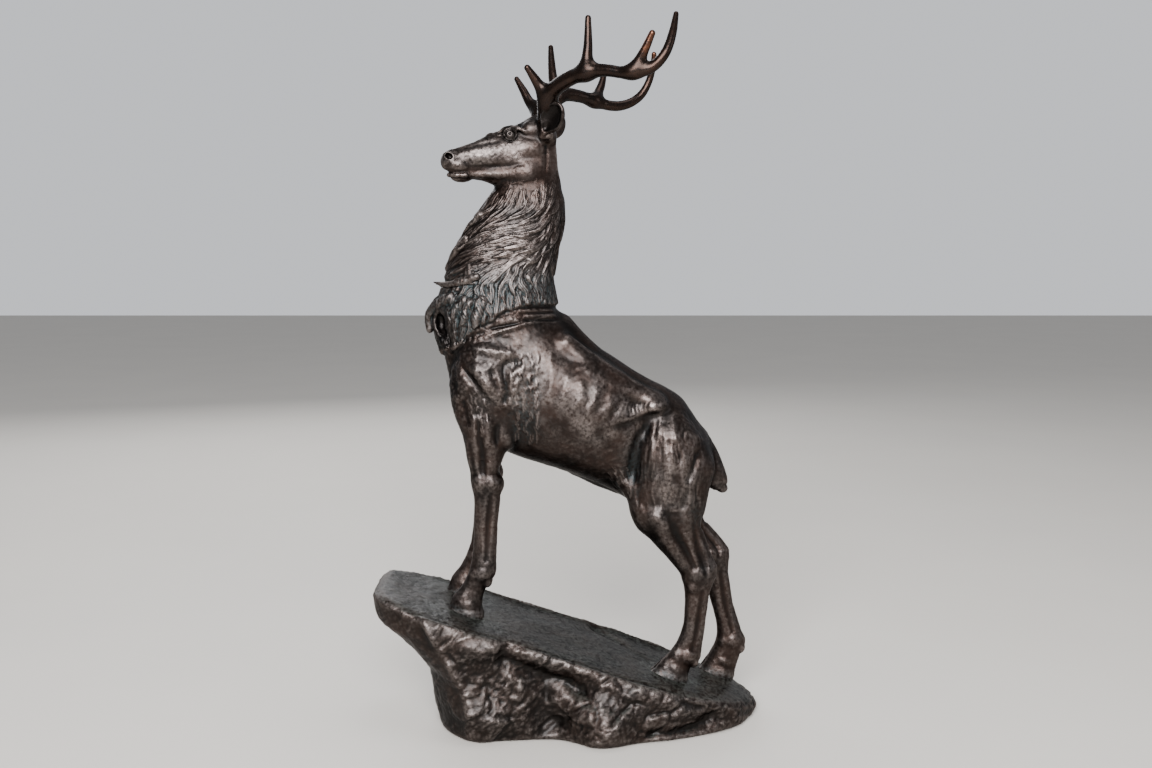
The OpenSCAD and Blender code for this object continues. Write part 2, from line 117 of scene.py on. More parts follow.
def cells(points, size, seed=0):
    """Nearest scattered site of each point: its distance over `size`, the gap to the second
    nearest over `size`, the site itself and a random number that belongs to it."""
    q = points / size
    base = np.floor(q).astype(np.int64)
    first = np.full(len(q), 9.0)
    second = np.full(len(q), 9.0)
    site = np.zeros_like(q)
    mark = np.zeros(len(q))
    for corner in np.ndindex(3, 3, 3):
        cell = base + corner - 1
        spot = cell + np.stack([lattice(*cell.T, seed + k) for k in range(3)], -1)
        gap = np.linalg.norm(q - spot, axis=1)
        nearer = gap < first
        second = np.where(nearer, first, np.minimum(second, gap))
        first = np.where(nearer, gap, first)
        site[nearer] = spot[nearer]
        mark = np.where(nearer, lattice(*cell.T, seed + 7), mark)
    return first, second - first, site * size, mark


# ---- Clay: a block of signed distances, in mm ----

class Clay:
    def __init__(self, low, high, cell):
        self.cell = cell
        self.low = np.floor(np.array(low, float) / cell) * cell
        self.count = np.ceil((np.array(high, float) - self.low) / cell).astype(int) + 1
        self.field = np.full(self.count, FAR, np.float32)

    def window(self, low, high):
        a = np.clip(np.floor((np.array(low) - self.low) / self.cell).astype(int), 0, self.count)
        b = np.clip(np.ceil((np.array(high) - self.low) / self.cell).astype(int) + 1, 0, self.count)
        if (b - a < 1).any():
            return None
        axes = [self.low[k] + self.cell * np.arange(a[k], b[k]) for k in range(3)]
        place = tuple(slice(a[k], b[k]) for k in range(3))
        return place, axes

    def add(self, shape, blend, cut=False):
        """Adds a shape, or cuts it away, with its edge rounded over about `blend` mm."""
        low, high = shape.reach()
        found = self.window(low - blend - 2, high + blend + 2)
        if found is None:
            return
        place, axes = found
        d = shape.distance(*axes).astype(np.float32)
        old = self.field[place]
        self.field[place] = smooth_max(old, -d, blend) if cut else smooth_min(old, d, blend)

    def sample(self, points):
        q = np.clip((points - self.low) / self.cell, 0, np.array(self.count) - 1.001)
        i = q.astype(int)
        total = 0.0
        for corner, weight in corners(q - i):
            total = total + weight * self.field[tuple((i + corner).T)]
        return total

    def skin(self):
        """Points (mm) and four-sided faces of the surface, one point in each crossed cell."""
        f = self.field
        inside = f < 0
        n = f.shape
        ends = list(np.ndindex(2, 2, 2))
        full = sum(inside[tuple(slice(end[k], n[k] - 1 + end[k]) for k in range(3))].astype(np.int8)
                   for end in ends)
        crossed = (full > 0) & (full < 8)
        place = np.argwhere(crossed)
        number = np.full(crossed.shape, -1, np.int64)
        number[crossed] = np.arange(len(place))
        # A cell's point is the mean of the places where the surface crosses its edges.
        value = {end: f[tuple((place + end).T)] for end in ends}
        at = np.zeros((len(place), 3))
        hits = np.zeros(len(place))
        for k in range(3):
            for a in ends:
                if a[k]:
                    continue
                b = tuple(1 if j == k else a[j] for j in range(3))
                cut = (value[a] < 0) != (value[b] < 0)
                va, vb = value[a][cut], value[b][cut]
                at[cut] += a + (va / (va - vb))[:, None] * np.eye(3)[k]
                hits += cut
        points = self.low + self.cell * (place + at / hits[:, None])
        # Each crossed edge of the lattice gives a face between the four cells round it.
        faces = []
        for k in range(3):
            along, du, dv = np.eye(3, dtype=int)[[k, (k + 1) % 3, (k + 2) % 3]]
            lo = [slice(1, n[j] - 1) for j in range(3)]
            hi = list(lo)
            lo[k], hi[k] = slice(0, n[k] - 1), slice(1, n[k])
            one, two = inside[tuple(lo)], inside[tuple(hi)]
            edge = np.argwhere(one != two)
            out = one[tuple(edge.T)]
            edge = edge + 1 - along
            quad = np.stack([number[tuple((edge + s).T)] for s in (-du - dv, -dv, 0 * du, -du)], 1)
            quad[~out] = quad[~out][:, ::-1]
            faces.append(quad)
        faces = np.concatenate(faces)
        return tidied(points, faces[(faces >= 0).all(1)])[:2]


def tidied(points, faces):
    """The points that faces use, the faces renumbered, and which points were kept."""
    used = np.zeros(len(points), bool)
    used[faces.ravel()] = True
    return points[used], (np.cumsum(used) - 1)[faces], used


class Ball:
    """An ellipsoid: centre, three radii and turns about Y, then Z, in degrees."""

    def __init__(self, centre, radii, about_y=0.0, about_z=0.0):
        self.c = np.array(centre, float)
        self.r = np.array(radii, float) * np.ones(3)
        ay, az = math.radians(about_y), math.radians(about_z)
        ry = np.array([[math.cos(ay), 0, math.sin(ay)], [0, 1, 0], [-math.sin(ay), 0, math.cos(ay)]])
        rz = np.array([[math.cos(az), -math.sin(az), 0], [math.sin(az), math.cos(az), 0], [0, 0, 1]])
        self.m = rz @ ry

    def reach(self):
        ext = np.sqrt(((self.m * self.r) ** 2).sum(1))
        return self.c - ext, self.c + ext

    def distance(self, x, y, z):
        x, y, z = np.ix_(x - self.c[0], y - self.c[1], z - self.c[2])
        k, g = 0.0, 0.0
        for j in range(3):
            along = (self.m[0, j] * x + self.m[1, j] * y + self.m[2, j] * z) / self.r[j]
            k = k + along ** 2
            g = g + (along / self.r[j]) ** 2
        k = np.sqrt(k)
        return k * (k - 1) / np.maximum(np.sqrt(g), 1e-6)


class Chain:
    """A round rope of varying radius through [x, y, z, r] rows."""

    def __init__(self, rows):
        self.rows = np.array(rows, float)

    def reach(self):
        p, r = self.rows[:, :3], self.rows[:, 3:4]
        return (p - r).min(0), (p + r).max(0)

    def distance(self, x, y, z):
        best = np.full((len(x), len(y), len(z)), FAR, np.float32)
        for a, b in zip(self.rows[:-1], self.rows[1:]):
            low = np.minimum(a[:3] - a[3], b[:3] - b[3]) - ROPE_MARGIN
            high = np.maximum(a[:3] + a[3], b[:3] + b[3]) + ROPE_MARGIN
            near = tuple(slice(*np.searchsorted(line, ends)) for line, *ends in zip((x, y, z), low, high))
            px, py, pz = np.ix_(*((line[part] - start).astype(np.float32)
                                  for line, part, start in zip((x, y, z), near, a)))
            d = (b[:3] - a[:3]).astype(np.float32)
            t = np.clip((px * d[0] + py * d[1] + pz * d[2]) / max(d @ d, 1e-9), 0, 1)
            gap = np.sqrt((px - t * d[0]) ** 2 + (py - t * d[1]) ** 2 + (pz - t * d[2]) ** 2)
            best[near] = np.minimum(best[near], gap - (a[3] + t * (b[3] - a[3])))
        return best


class Loft:
    """A body through flat sections across the stag: rows of [x, z] of one end, [x, z] of the
    other end, half width and, off the middle plane, centre y."""

    PAD = 8       # mm round the sections in which the distance is worked out

    def __init__(self, rows, side=1, power=2.2):
        s = spline([list(r) + [0.0] * (6 - len(r)) for r in rows], 8)
        self.t, self.b = s[:, 0:2], s[:, 2:4]
        self.w, self.y = s[:, 4], side * s[:, 5]
        self.mid = (self.t + self.b) / 2
        axis = self.t - self.b
        self.h = np.linalg.norm(axis, axis=1) / 2
        self.axis = axis / (2 * self.h[:, None])
        self.across = np.stack([self.axis[:, 1], -self.axis[:, 0]], 1)
        travel = np.gradient(self.mid, axis=0)
        self.across *= np.sign((self.across * travel).sum(1))[:, None]
        self.power = power

    def reach(self):
        ends = np.concatenate([self.t, self.b])
        low, high = ends.min(0), ends.max(0)
        return (np.array([low[0], (self.y - self.w).min(), low[1]]) - self.PAD,
                np.array([high[0], (self.y + self.w).max(), high[1]]) + self.PAD)

    def locate(self, x, z):
        """For places in the side view: row number, height along the section and overrun."""
        shape = x.shape
        x, z = x.ravel().astype(np.float32), z.ravel().astype(np.float32)
        # For every section, how far on a place lies (g) and how high along it (s). The place is
        # between the two sections where g changes sign, nearest to their middles.
        dx, dz = x[None] - self.mid[:, 0:1], z[None] - self.mid[:, 1:2]
        g = (dx * self.across[:, 0:1] + dz * self.across[:, 1:2]).astype(np.float32)
        s = (dx * self.axis[:, 0:1] + dz * self.axis[:, 1:2]).astype(np.float32)
        change = (g[:-1] >= 0) & (g[1:] < 0)
        cost = np.where(change, np.abs(s[:-1]) / self.h[:-1, None], 1e6)
        i = cost.argmin(0)
        n = np.arange(len(x))
        ok = cost[i, n] < 1e5
        g0, g1 = g[i, n], g[i + 1, n]
        t = np.where(ok, g0 / np.where(ok, g0 - g1, 1), 0)
        row = i + t
        # Past either end, the end section counts, and the overrun is how far on it lies.
        last = len(self.mid) - 1
        before = ~ok & (np.abs(g[0]) <= np.abs(g[-1]))
        row = np.where(ok, row, np.where(before, 0, last))
        over = np.where(ok, 0, np.abs(np.where(before, g[0], g[-1])))
        k = np.minimum(row.astype(int), last - 1)
        f = row - k
        place = (1 - f) * s[k, n] + f * s[k + 1, n]
        return row.reshape(shape), place.reshape(shape), over.reshape(shape)

    def body(self, row, place, over, y):
        h, w, centre = (np.interp(row, np.arange(len(v)), v) for v in (self.h, self.w, self.y))
        p = self.power
        a, b = np.abs(place / h), np.abs((y - centre) / w)
        k = (a ** p + b ** p + 1e-9) ** (1 / p)
        g = np.sqrt((a ** (p - 1) / h) ** 2 + (b ** (p - 1) / w) ** 2) * k ** (1 - p)
        d = (k - 1) / np.maximum(g, 1e-4)
        return np.where(over > 0, np.hypot(np.maximum(d, 0), over), d)

    def distance(self, x, y, z):
        row, place, over = self.locate(*np.meshgrid(x, z, indexing="ij"))
        return self.body(row[:, None, :], place[:, None, :], over[:, None, :], y[None, :, None])


# ---- The stag's measures, as the castings have them (mm) ----

TOP_H, TOP_SLOPE, RIM_DROP = 82.0, math.tan(math.radians(18)), 6.0
LEG_Y = 28            # from the middle plane to the middle of a leg
HEAD_TURN = math.radians(10)
HEAD_PIVOT = np.array([-36.0, 0.0, 0.0])
HEAD_SEAM = [-70, 534, -6, 546]
NECK_SEAM = [-122, 376, -8, 412]
TAIL_SEAM = [144, 284, 142, 264]


def top_z(x):
    return TOP_H - x * TOP_SLOPE


def leg(rows, front, back, half_w):
    """A leg's sections down to its sole, from `front` to `back`. LEG_Y is their centre y where
    a row gives none of its own."""
    rows = rows + [[front, top_z(front) - 2, back, top_z(back) - 2, half_w]]
    return [[*row, LEG_Y][:6] for row in rows]


BARREL = [
    [-8, 412, -122, 376, 39], [2, 402, -115, 345, 42], [10, 391, -108, 312, 46],
    [22, 381, -80, 285, 46], [35, 372, -54, 270, 46], [60, 356, -5, 254, 45],
    [83, 344, 25, 243, 42], [100, 337, 52, 230, 38], [118, 325, 74, 216, 36],
    [134, 303, 98, 206, 34], [142, 293, 122, 216, 29], [146, 284, 142, 240, 17],
]
NECK = [
    [-42, 572, -18, 580, 8], [-54, 554, -12, 563, 14.5], [-70, 534, -6, 546, 17.5],
    [-80, 516, -3, 532, 20], [-93, 499, 0, 518, 23], [-106, 477, -3, 495, 27], [-115, 453, -9, 468, 31],
    [-124, 428, -13, 442, 35], [-132, 402, -10, 424, 38], [-122, 376, -8, 412, 39],
]
TAIL = [
    [136, 290, 131, 262, 11], [147, 284, 131, 260, 13], [154, 273, 132, 252, 13],
    [160, 259, 134, 244, 12], [164, 247, 142, 237, 10], [165, 240, 151, 232, 6],
]
SHOULDER = [[-112, 345, -52, 330, 20, 20], [-110, 315, -50, 300, 21, 22], [-100, 290, -56, 282, 15, 26]]
HAUNCH = [[80, 300, 138, 286, 18, 17], [68, 264, 149, 262, 24, 20]]
# Each leg's sections, its side of the stag and the section at which it is seamed to the torso.
LEGS = {
    "left_fore": (leg(SHOULDER + [
        [-97, 272, -62, 266, 12], [-94, 258, -65, 256, 11], [-93, 245, -61, 243, 11.5],
        [-90, 228, -65, 227, 9.5], [-90, 205, -68, 205, 8], [-91, 180, -69, 176, 8],
        [-95, 158, -69, 154, 9.5], [-103, 141, -79, 138, 8.5], [-112, 130, -83, 123, 10.5]
    ], -118, -81, 12), -1, 3),
    "right_fore": (leg(SHOULDER + [
        [-97, 272, -64, 266, 12], [-96, 258, -67, 256, 11], [-97, 245, -66, 243, 11.5],
        [-95, 228, -71, 227, 9.5], [-95, 205, -74, 205, 8], [-97, 182, -75, 178, 8],
        [-102, 162, -77, 158, 9.5], [-110, 146, -86, 143, 8.5], [-119, 134, -91, 128, 10.5]
    ], -125, -89, 12), 1, 3),
    "left_hind": (leg(HAUNCH + [
        [63, 236, 144, 238, 23, 22], [68, 212, 139, 216, 18, 26], [84, 189, 135, 200, 14],
        [106, 164, 144, 172, 11], [116, 150, 151, 155, 10.5], [120, 130, 143, 128, 8.5],
        [120, 105, 139, 100, 7.5], [114, 86, 137, 77, 7.5], [106, 73, 136, 66, 9],
        [97, 64, 127, 57, 9.5]
    ], 85, 122, 11.5), -1, 4),
    "right_hind": (leg(HAUNCH + [
        [66, 236, 146, 238, 23, 22], [74, 212, 143, 214, 18, 26], [92, 190, 146, 192, 14],
        [125, 168, 163, 172, 11], [136, 153, 171, 159, 10.5], [146, 131, 171, 134, 8.5],
        [153, 108, 174, 108, 7.5], [159, 86, 182, 83, 7.5], [159, 67, 190, 65, 9],
        [152, 51, 184, 49, 9.5]
    ], 140, 177, 11.5), 1, 4),
}
HEAD = [
    [-119, 566, -117, 553, 5], [-113, 570, -110, 545, 9], [-104, 573, -98, 543, 10],
    [-88, 579, -82, 541, 10.5], [-69, 588, -64, 535, 13], [-52, 594, -50, 530, 16],
    [-36, 601, -35, 528, 17], [-22, 606, -21, 531, 16.5], [-12, 597, -7, 536, 13],
]
ANTLER_R = 8
BURR_TILT = math.radians(27)
BURRS = {"left": (-18, 15, 598), "right": (-26, 18, 599)}
BEAMS = {
    "left": [
        [-18, 16, 600, ANTLER_R], [-17, 23, 612, ANTLER_R], [-11, 33, 623, 7.5], [0, 44, 630, 7.2],
        [13, 53, 635, 7], [26, 61, 637, 6.6], [40, 69, 636, 5.6], [54, 75, 633, 5.2], [69, 80, 633, 5.3],
        [82, 83, 638, 4.8], [92, 84, 650, 4.5], [98, 80, 667, 3.9], [101.5, 74, 685, 2.6],
    ],
    "right": [
        [-26, 19, 600, ANTLER_R], [-24, 26, 612, ANTLER_R], [-14, 36, 625, 7.5], [0, 48, 632, 7],
        [14, 59, 632, 6.4], [28, 68, 629, 5.8], [40, 75, 626, 5.3], [54, 80, 625, 5.2], [68, 85, 629, 4.8],
        [80, 88, 638, 4.4], [88, 88, 652, 3.8], [92, 84, 668, 3.4], [92.5, 80, 678, 2.7],
    ],
}
TINES = {
    "left": [
        [[-16, 25, 614, 7], [-25, 32, 630, 5], [-35, 37, 644, 3]],
        [[20, 58, 636, 7], [21, 60, 648, 5.4], [22, 61, 662, 4.2], [22, 62, 684, 2.9]],
        [[62, 78, 634, 5.6], [71, 84, 648, 4.4], [79, 89, 665, 3]],
    ],
    "right": [
        [[-25, 25, 611, 6.4], [-35, 31, 621, 5], [-42, 35, 634, 3.9], [-49, 38, 646, 2.6]],
        [[-9, 40, 629, 6.4], [-13, 52, 652, 4.6], [-15, 60, 681, 2.8]],
        [[30, 69, 629, 5.6], [37, 80, 645, 4.4], [41, 88, 662, 2.6]],
    ],
}
EAR_ROOT = (-13, 21, 583)
EYE = (-53, 14, 585)
ROCK_RIM = [
    [-190, -20, 1], [-180, -60, 1], [-140, -78, 1], [-80, -80, 1], [-20, -76, 1], [40, -78, 1],
    [100, -76, 1], [150, -62, 1], [184, -30, 1], [192, 6, 1], [168, 42, 1], [100, 50, -0.7],
    [30, 52, -0.7], [-50, 52, -0.7], [-120, 50, -0.5], [-178, 30, 0],
]
ROCK_GROUND = [
    [-128, -18], [-120, -50], [-92, -82], [-54, -80], [-6, -78], [34, -98], [74, -86], [130, -70],
    [176, -42], [198, 8], [180, 56], [110, 80], [30, 84], [-50, 82], [-110, 64], [-126, 24],
]


# ---- Surfaces: relief, wear, painted highlight and the seams ----

class Surface:
    """The skin of one casting while it is being worked: points, faces and normals, in mm."""

    def __init__(self, points, faces):
        self.points, self.faces = points, faces
        # Each edge once both ways round, as one number, sorted by the point that it leaves.
        count = len(points)
        pairs = np.concatenate([faces[:, [k, (k + 1) % 4]] for k in range(4)])
        pairs = np.unique(np.concatenate([pairs @ (count, 1), pairs @ (1, count)]))
        self.near = pairs % count
        self.valence = np.bincount(pairs // count, minlength=count)
        self.start = np.concatenate([[0], np.cumsum(self.valence)[:-1]])
        self.find_normals()

    def find_normals(self):
        p, f = self.points, self.faces
        flat = np.cross(p[f[:, 2]] - p[f[:, 0]], p[f[:, 3]] - p[f[:, 1]])
        total = [sum(np.bincount(f[:, c], flat[:, k], len(p)) for c in range(4)) for k in range(3)]
        self.normals = unit(np.stack(total, 1))

    def rounds(self, reach):
        """The rounds of easing that spread a value over about `reach` mm."""
        step = self.points[self.near[self.start]] - self.points
        edge = float(np.linalg.norm(step, axis=1).mean())
        return max(2, int(round((reach / edge) ** 2 * 3)))

    def eased(self, values, rounds, rate=0.6):
        """The values spread along the surface, `rounds` times."""
        values = values.copy()
        share = rate / (self.valence if values.ndim == 1 else self.valence[:, None])
        for _ in range(rounds):
            values = values * (1 - rate) + np.add.reduceat(values[self.near], self.start) * share
        return values

    def raise_by(self, height):
        self.points = self.points + self.normals * height[:, None]
        self.find_normals()

    def depth(self, rounds):
        """How far each point lies below its surroundings."""
        return ((self.eased(self.points, rounds) - self.points) * self.normals).sum(1)


def line_distance(x, z, line):
    """Distance from a line in the side view, the share of its length, and the side (-1, 1)."""
    line = np.array(line, float)
    best = np.full(len(x), 1e9)
    share = np.zeros(len(x))
    hand = np.ones(len(x))
    steps = np.linalg.norm(np.diff(line, axis=0), axis=1)
    start = np.concatenate([[0], np.cumsum(steps)])
    for i, length in enumerate(steps):
        d = (line[i + 1] - line[i]) / length
        px, pz = x - line[i, 0], z - line[i, 1]
        t = np.clip(px * d[0] + pz * d[1], 0, length)
        gap = np.hypot(px - t * d[0], pz - t * d[1])
        nearer = gap < best
        best = np.where(nearer, gap, best)
        share = np.where(nearer, (start[i] + t) / start[-1], share)
        hand = np.where(nearer, np.sign(d[0] * pz - d[1] * px), hand)
    return best, share, hand


def spot(x, z, at_x, at_z, long, high, power=2):
    """1 at a place, falling to 0 some `long` and `high` mm from it. It has a flatter top with a
    greater power."""
    return np.exp(-((x - at_x) / long) ** power - ((z - at_z) / high) ** power)


def swelling(x, z, at_x, at_z, long, high, lift, lean=0.0):
    """A soft rise, or a hollow where `lift` is negative, that leans by so many degrees."""
    c, s = math.cos(math.radians(lean)), math.sin(math.radians(lean))
    dx, dz = x - at_x, z - at_z
    return lift * spot(dx * c + dz * s, dz * c - dx * s, 0, 0, long, high)


def ridge(x, z, line, width, height, taper):
    """A rounded ridge along a line, or a groove where `height` is negative. Each end fades over
    `taper` of its length."""
    gap, share, _ = line_distance(x, z, line)
    return height * ease(np.minimum(share, 1 - share) / taper) * np.exp(-(gap / width) ** 2)


class Relief:
    """Height to add over a surface, from strokes drawn in the side view on both flanks."""

    def __init__(self, surface):
        self.p = surface.points
        self.x, self.z = self.p[:, 0], self.p[:, 2]
        self.facing = ease((np.abs(surface.normals[:, 1]) - 0.1) / 0.5)
        self.height = np.zeros(len(self.p))

    def near(self, line, reach):
        line = np.array(line, float)
        low, high = line.min(0) - reach, line.max(0) + reach
        return np.where((self.x > low[0]) & (self.x < high[0]) & (self.z > low[1]) & (self.z < high[1]))[0]

    def stroke(self, line, width, height, taper=0.25):
        line = spline(line, 4)
        i = self.near(line, 3 * width)
        self.height[i] += ridge(self.x[i], self.z[i], line, width, height, taper) * self.facing[i]

    def ledge(self, line, high, low, wide, deep, soft=2.4):
        """A crease: a fold `high` mm proud on its left hand and a hollow `low` deep on its right."""
        line = spline(line, 4)
        i = self.near(line, 4 * deep)
        gap, share, hand = line_distance(self.x[i], self.z[i], line)
        ends = ease(np.minimum(share / 0.6, (1 - share) / 0.15))
        left = high * np.exp(-(gap / wide) ** 2)
        right = -low * np.exp(-gap / deep)
        mix = ease(0.5 + hand * gap / soft)
        self.height[i] += ends * (right + (left - right) * mix) * self.facing[i]

    def comb(self, box, way, size, stretch, height, seed):
        """Short hair lying along `way`, over a box in the side view that fades out at its edges."""
        (x0, z1), (x1, z0) = box
        fade = self.facing
        for inward in (self.x - x0, x1 - self.x, self.z - z0, z1 - self.z):
            fade = fade * ease(inward / 12)
        i = np.where(fade > 0.01)[0]
        p = self.p[i]
        along = (p[:, 0] - x0) * way[0] + (p[:, 2] - z0) * way[1]
        across = (p[:, 2] - z0) * way[0] - (p[:, 0] - x0) * way[1] + 4 * noise(p, 22, seed + 3)
        at = np.stack([across, along / stretch, p[:, 1]], 1)
        rough = 0.4 + 0.6 * ease(0.5 + noise(p, 18, seed + 5))
        self.height[i] += height * fade[i] * rough * layered(at, size, seed, 2)


# ---- Hair: locks laid along a flow over the skin ----

def steepest(clay, points):
    """The way out of the clay at each point."""
    steps = clay.cell * np.eye(3)
    return unit(np.stack([clay.sample(points + step) - clay.sample(points - step) for step in steps], 1))


class Locks:
    """Locks of hair: each a line on the skin, the ways up along it, a half width, a lift and a phase."""

    STEPS = 9                       # steps along a lock
    STRAND, STRAND_H = 2.3, 0.32    # mm between the strands on a lock, and how far they stand up

    def __init__(self):
        self.locks = []

    def grow(self, clay, seeds, length, width, lift, wave, seed):
        """Traces one lock along the hair's flow from each seed."""
        rng = np.random.default_rng(seed)
        count = len(seeds)
        step = (length * rng.uniform(0.65, 1.25, count) / self.STEPS)[:, None]
        phase = rng.uniform(0, 6.28, count)
        swing = rng.normal(0, wave, count)
        p = seeds.copy()
        track, up = [], []
        for k in range(self.STEPS + 1):
            n = steepest(clay, p)
            p = p - n * clay.sample(p)[:, None]
            track.append(p)
            up.append(n)
            d = hair_flow(p)
            d = unit(d - (d * n).sum(1, keepdims=True) * n)
            turn = (swing * np.cos(phase + k * 0.75))[:, None]
            d = unit(d + turn * np.cross(n, d))
            p = p + d * step
        for line, ups in zip(np.stack(track, 1), np.stack(up, 1)):
            self.locks.append((line, ups, width * rng.uniform(0.7, 1.3), lift * rng.uniform(0.6, 1.2),
                               rng.uniform(0, 6.28)))

    def relief(self, p):
        """Height of the locks at each point."""
        height = np.zeros(len(p))
        order = np.argsort(p[:, 0])
        xs = p[order, 0]
        for line, up, width, lift, phase in self.locks:
            low, high = line.min(0) - width, line.max(0) + width
            a, b = np.searchsorted(xs, [low[0], high[0]])
            i = order[a:b]
            q = p[i]
            i = i[((q[:, 1:] > low[1:]) & (q[:, 1:] < high[1:])).all(1)]
            if len(i) == 0:
                continue
            # The nearest step of the lock to each point, where a rise off the skin counts little.
            d = np.diff(line, axis=0)
            size = np.maximum((d * d).sum(1), 1e-6)
            q = p[i][:, None] - line[None, :-1]
            t = np.clip((q * d).sum(2) / size, 0, 1)
            off = q - t[..., None] * d
            off = off - 0.8 * (off * up[:-1]).sum(2)[..., None] * up[:-1]
            gap = (off * off).sum(2)
            k = gap.argmin(1)
            row = np.arange(len(i))
            # The lock widens from its root, draws in to its tip, and carries its strands.
            side = np.cross(up[:-1], d / np.sqrt(size)[:, None])
            cross = (off[row, k] * side[k]).sum(1)
            share = (k + t[row, k]) / len(d)
            wide = width * (0.5 + 0.5 * ease(share / 0.3)) * np.sqrt(1.02 - ease((share - 0.35) / 0.65))
            u = np.sqrt(gap[row, k]) / wide
            crown = np.sqrt(np.clip(1 - u * u, 0, 1))
            root = ease(share / 0.18)
            rise = root * lift * (0.3 + 0.7 * ease(share / 0.6)) * crown
            rise += root * self.STRAND_H * np.cos(6.283 * cross / self.STRAND + phase) * crown
            height[i] = np.maximum(height[i], np.where(u < 1, rise, 0))
        return height


def scattered(points, gap, seed, most):
    """Some of the points, none nearer than `gap` to another."""
    rng = np.random.default_rng(seed)
    kept = np.zeros((0, 3))
    for k in rng.permutation(len(points))[:most]:
        if len(kept) == 0 or np.min(((kept - points[k]) ** 2).sum(1)) > gap * gap:
            kept = np.vstack([kept, points[k]])
    return kept


# [x, z, direction x, direction z]: how the hair lies on either side of the neck and shoulder.
FLOW = np.array([
    [-60, 524, -0.45, -0.9], [-40, 524, -0.15, -1.0], [-22, 524, -0.1, -1.0], [-70, 506, -0.85, -0.5],
    [-57, 508, -0.8, -0.6], [-11, 520, -0.6, -0.8], [-22, 510, -0.75, -0.65], [-36, 501, -0.95, -0.25],
    [-52, 498, -0.97, -0.2], [-85, 492, -0.8, -0.6], [-70, 485, -1.0, -0.1], [-40, 481, -1.0, -0.15],
    [-5, 500, -0.3, -0.95], [-4, 480, -0.3, -0.95], [-14, 478, -0.75, -0.65], [-100, 472, -0.95, -0.3],
    [-70, 466, -1.0, -0.1], [-42, 466, -0.95, -0.3], [-20, 460, -0.6, -0.8], [-95, 454, -0.98, -0.15],
    [-66, 452, -0.8, -0.6], [-46, 450, -0.3, -0.95], [-14, 440, -0.1, -1.0], [-112, 452, -0.9, -0.3],
    [-112, 434, -0.4, -0.9], [-92, 434, -0.1, -1.0], [-76, 430, 0.15, -1.0], [-60, 430, -0.15, -1.0],
    [-42, 432, 0.3, -0.95], [-26, 428, 0.45, -0.9], [-10, 424, 0.6, -0.8], [-126, 420, -0.5, -0.85],
    [-132, 404, 0.1, -1.0], [-118, 396, 0.35, -0.95], [-100, 402, -0.1, -1.0], [-80, 412, 0.1, -1.0],
    [-110, 382, 0.2, -1.0], [-36, 370, -0.15, -1.0], [-32, 345, -0.35, -0.95], [-44, 320, -0.2, -1.0],
    [-48, 295, -0.1, -1.0], [-86, 330, 0.3, -0.95], [-82, 305, 0.1, -1.0], [52, 255, 0.4, -0.9],
], float)


def hair_flow(points):
    gap = (points[:, None, 0] - FLOW[None, :, 0]) ** 2 + (points[:, None, 2] - FLOW[None, :, 1]) ** 2
    weight = np.exp(-gap / 90) + 1e-12
    way = np.stack([weight @ FLOW[:, 2], np.zeros(len(points)), weight @ FLOW[:, 3]], 1)
    return unit(way)


# ---- Casting the stag ----

def mirrored(rows, side):
    return [[x, side * y, *rest] for x, y, *rest in rows]


def body_moulds():
    """Everything of the stag but its head: (shape, blend) from first to last, with True for a cut."""
    moulds = [(Loft(BARREL), 0.5), (Loft(NECK), 5)]
    for rows, side, _ in LEGS.values():
        moulds.append((Loft(rows, side), 9))
    moulds.append((Loft(TAIL), 4))
    for s in (-1, 1):
        moulds += [
            (Ball((-74, s * 33, 352), (28, 14, 34), -18), 10),  # shoulder blade
            (Ball((-75, s * 36, 348), (14, 13, 27), -24), 5),  # triceps
            (Ball((-97, s * 27, 338), (13, 14, 27), -12), 8),  # point of the shoulder
            (Ball((-58, s * 32, 294), (8, 8, 14), -8), 6),  # elbow
            (Ball((-84, s * 31, 300), (14, 13, 28), -6), 7),  # top of the forearm
            (Ball((18, 0, 322), (62, 46, 46), 35), 12),  # ribs, laid on with either side
            (Ball((87, s * 25, 322), (13, 14, 10), 20), 8),  # hip
            (Ball((104, s * 24, 268), (31, 24, 46), -4), 8),  # thigh
            (Ball((120, s * 14, 281), (15, 17, 20)), 8),  # buttock
            (Ball((82, s * 29, 212), (15, 13, 20), -24), 7),  # stifle
            (Chain([(2, s * 27, 383, 8), (22, s * 29, 368, 8), (44, s * 31, 353, 8), (68, s * 29, 338, 7.5),
                    (90, s * 27, 326, 6.5)]), 9),  # edge of the back
            (Chain([(56, s * 22, 258, 7), (66, s * 25, 240, 8), (76, s * 27, 222, 8)]), 8),  # groin
        ]
    moulds.append((Ball((-96, 0, 322), (15, 20, 30), -12), 10))  # breast
    moulds.append((Chain([(-2, 0, 401, 9), (30, 0, 366, 9), (80, 0, 334, 9), (108, 0, 318, 7)]), 10))
    moulds.append((Ball((158.5, 0, 235), (7, 6, 5.5), 30), 3))  # tip of the tail
    moulds.append((Chain([(136, 0, 284, 9), (134, 0, 262, 9), (130, 0, 244, 8)]), 5))  # rump
    moulds.append((Chain([(10, 0, 254, 6), (34, 0, 243, 7), (52, 0, 236, 6)]), 6))  # sheath
    for name in LEGS:
        moulds += leg_moulds(name)
    moulds += ruff_moulds()
    return moulds


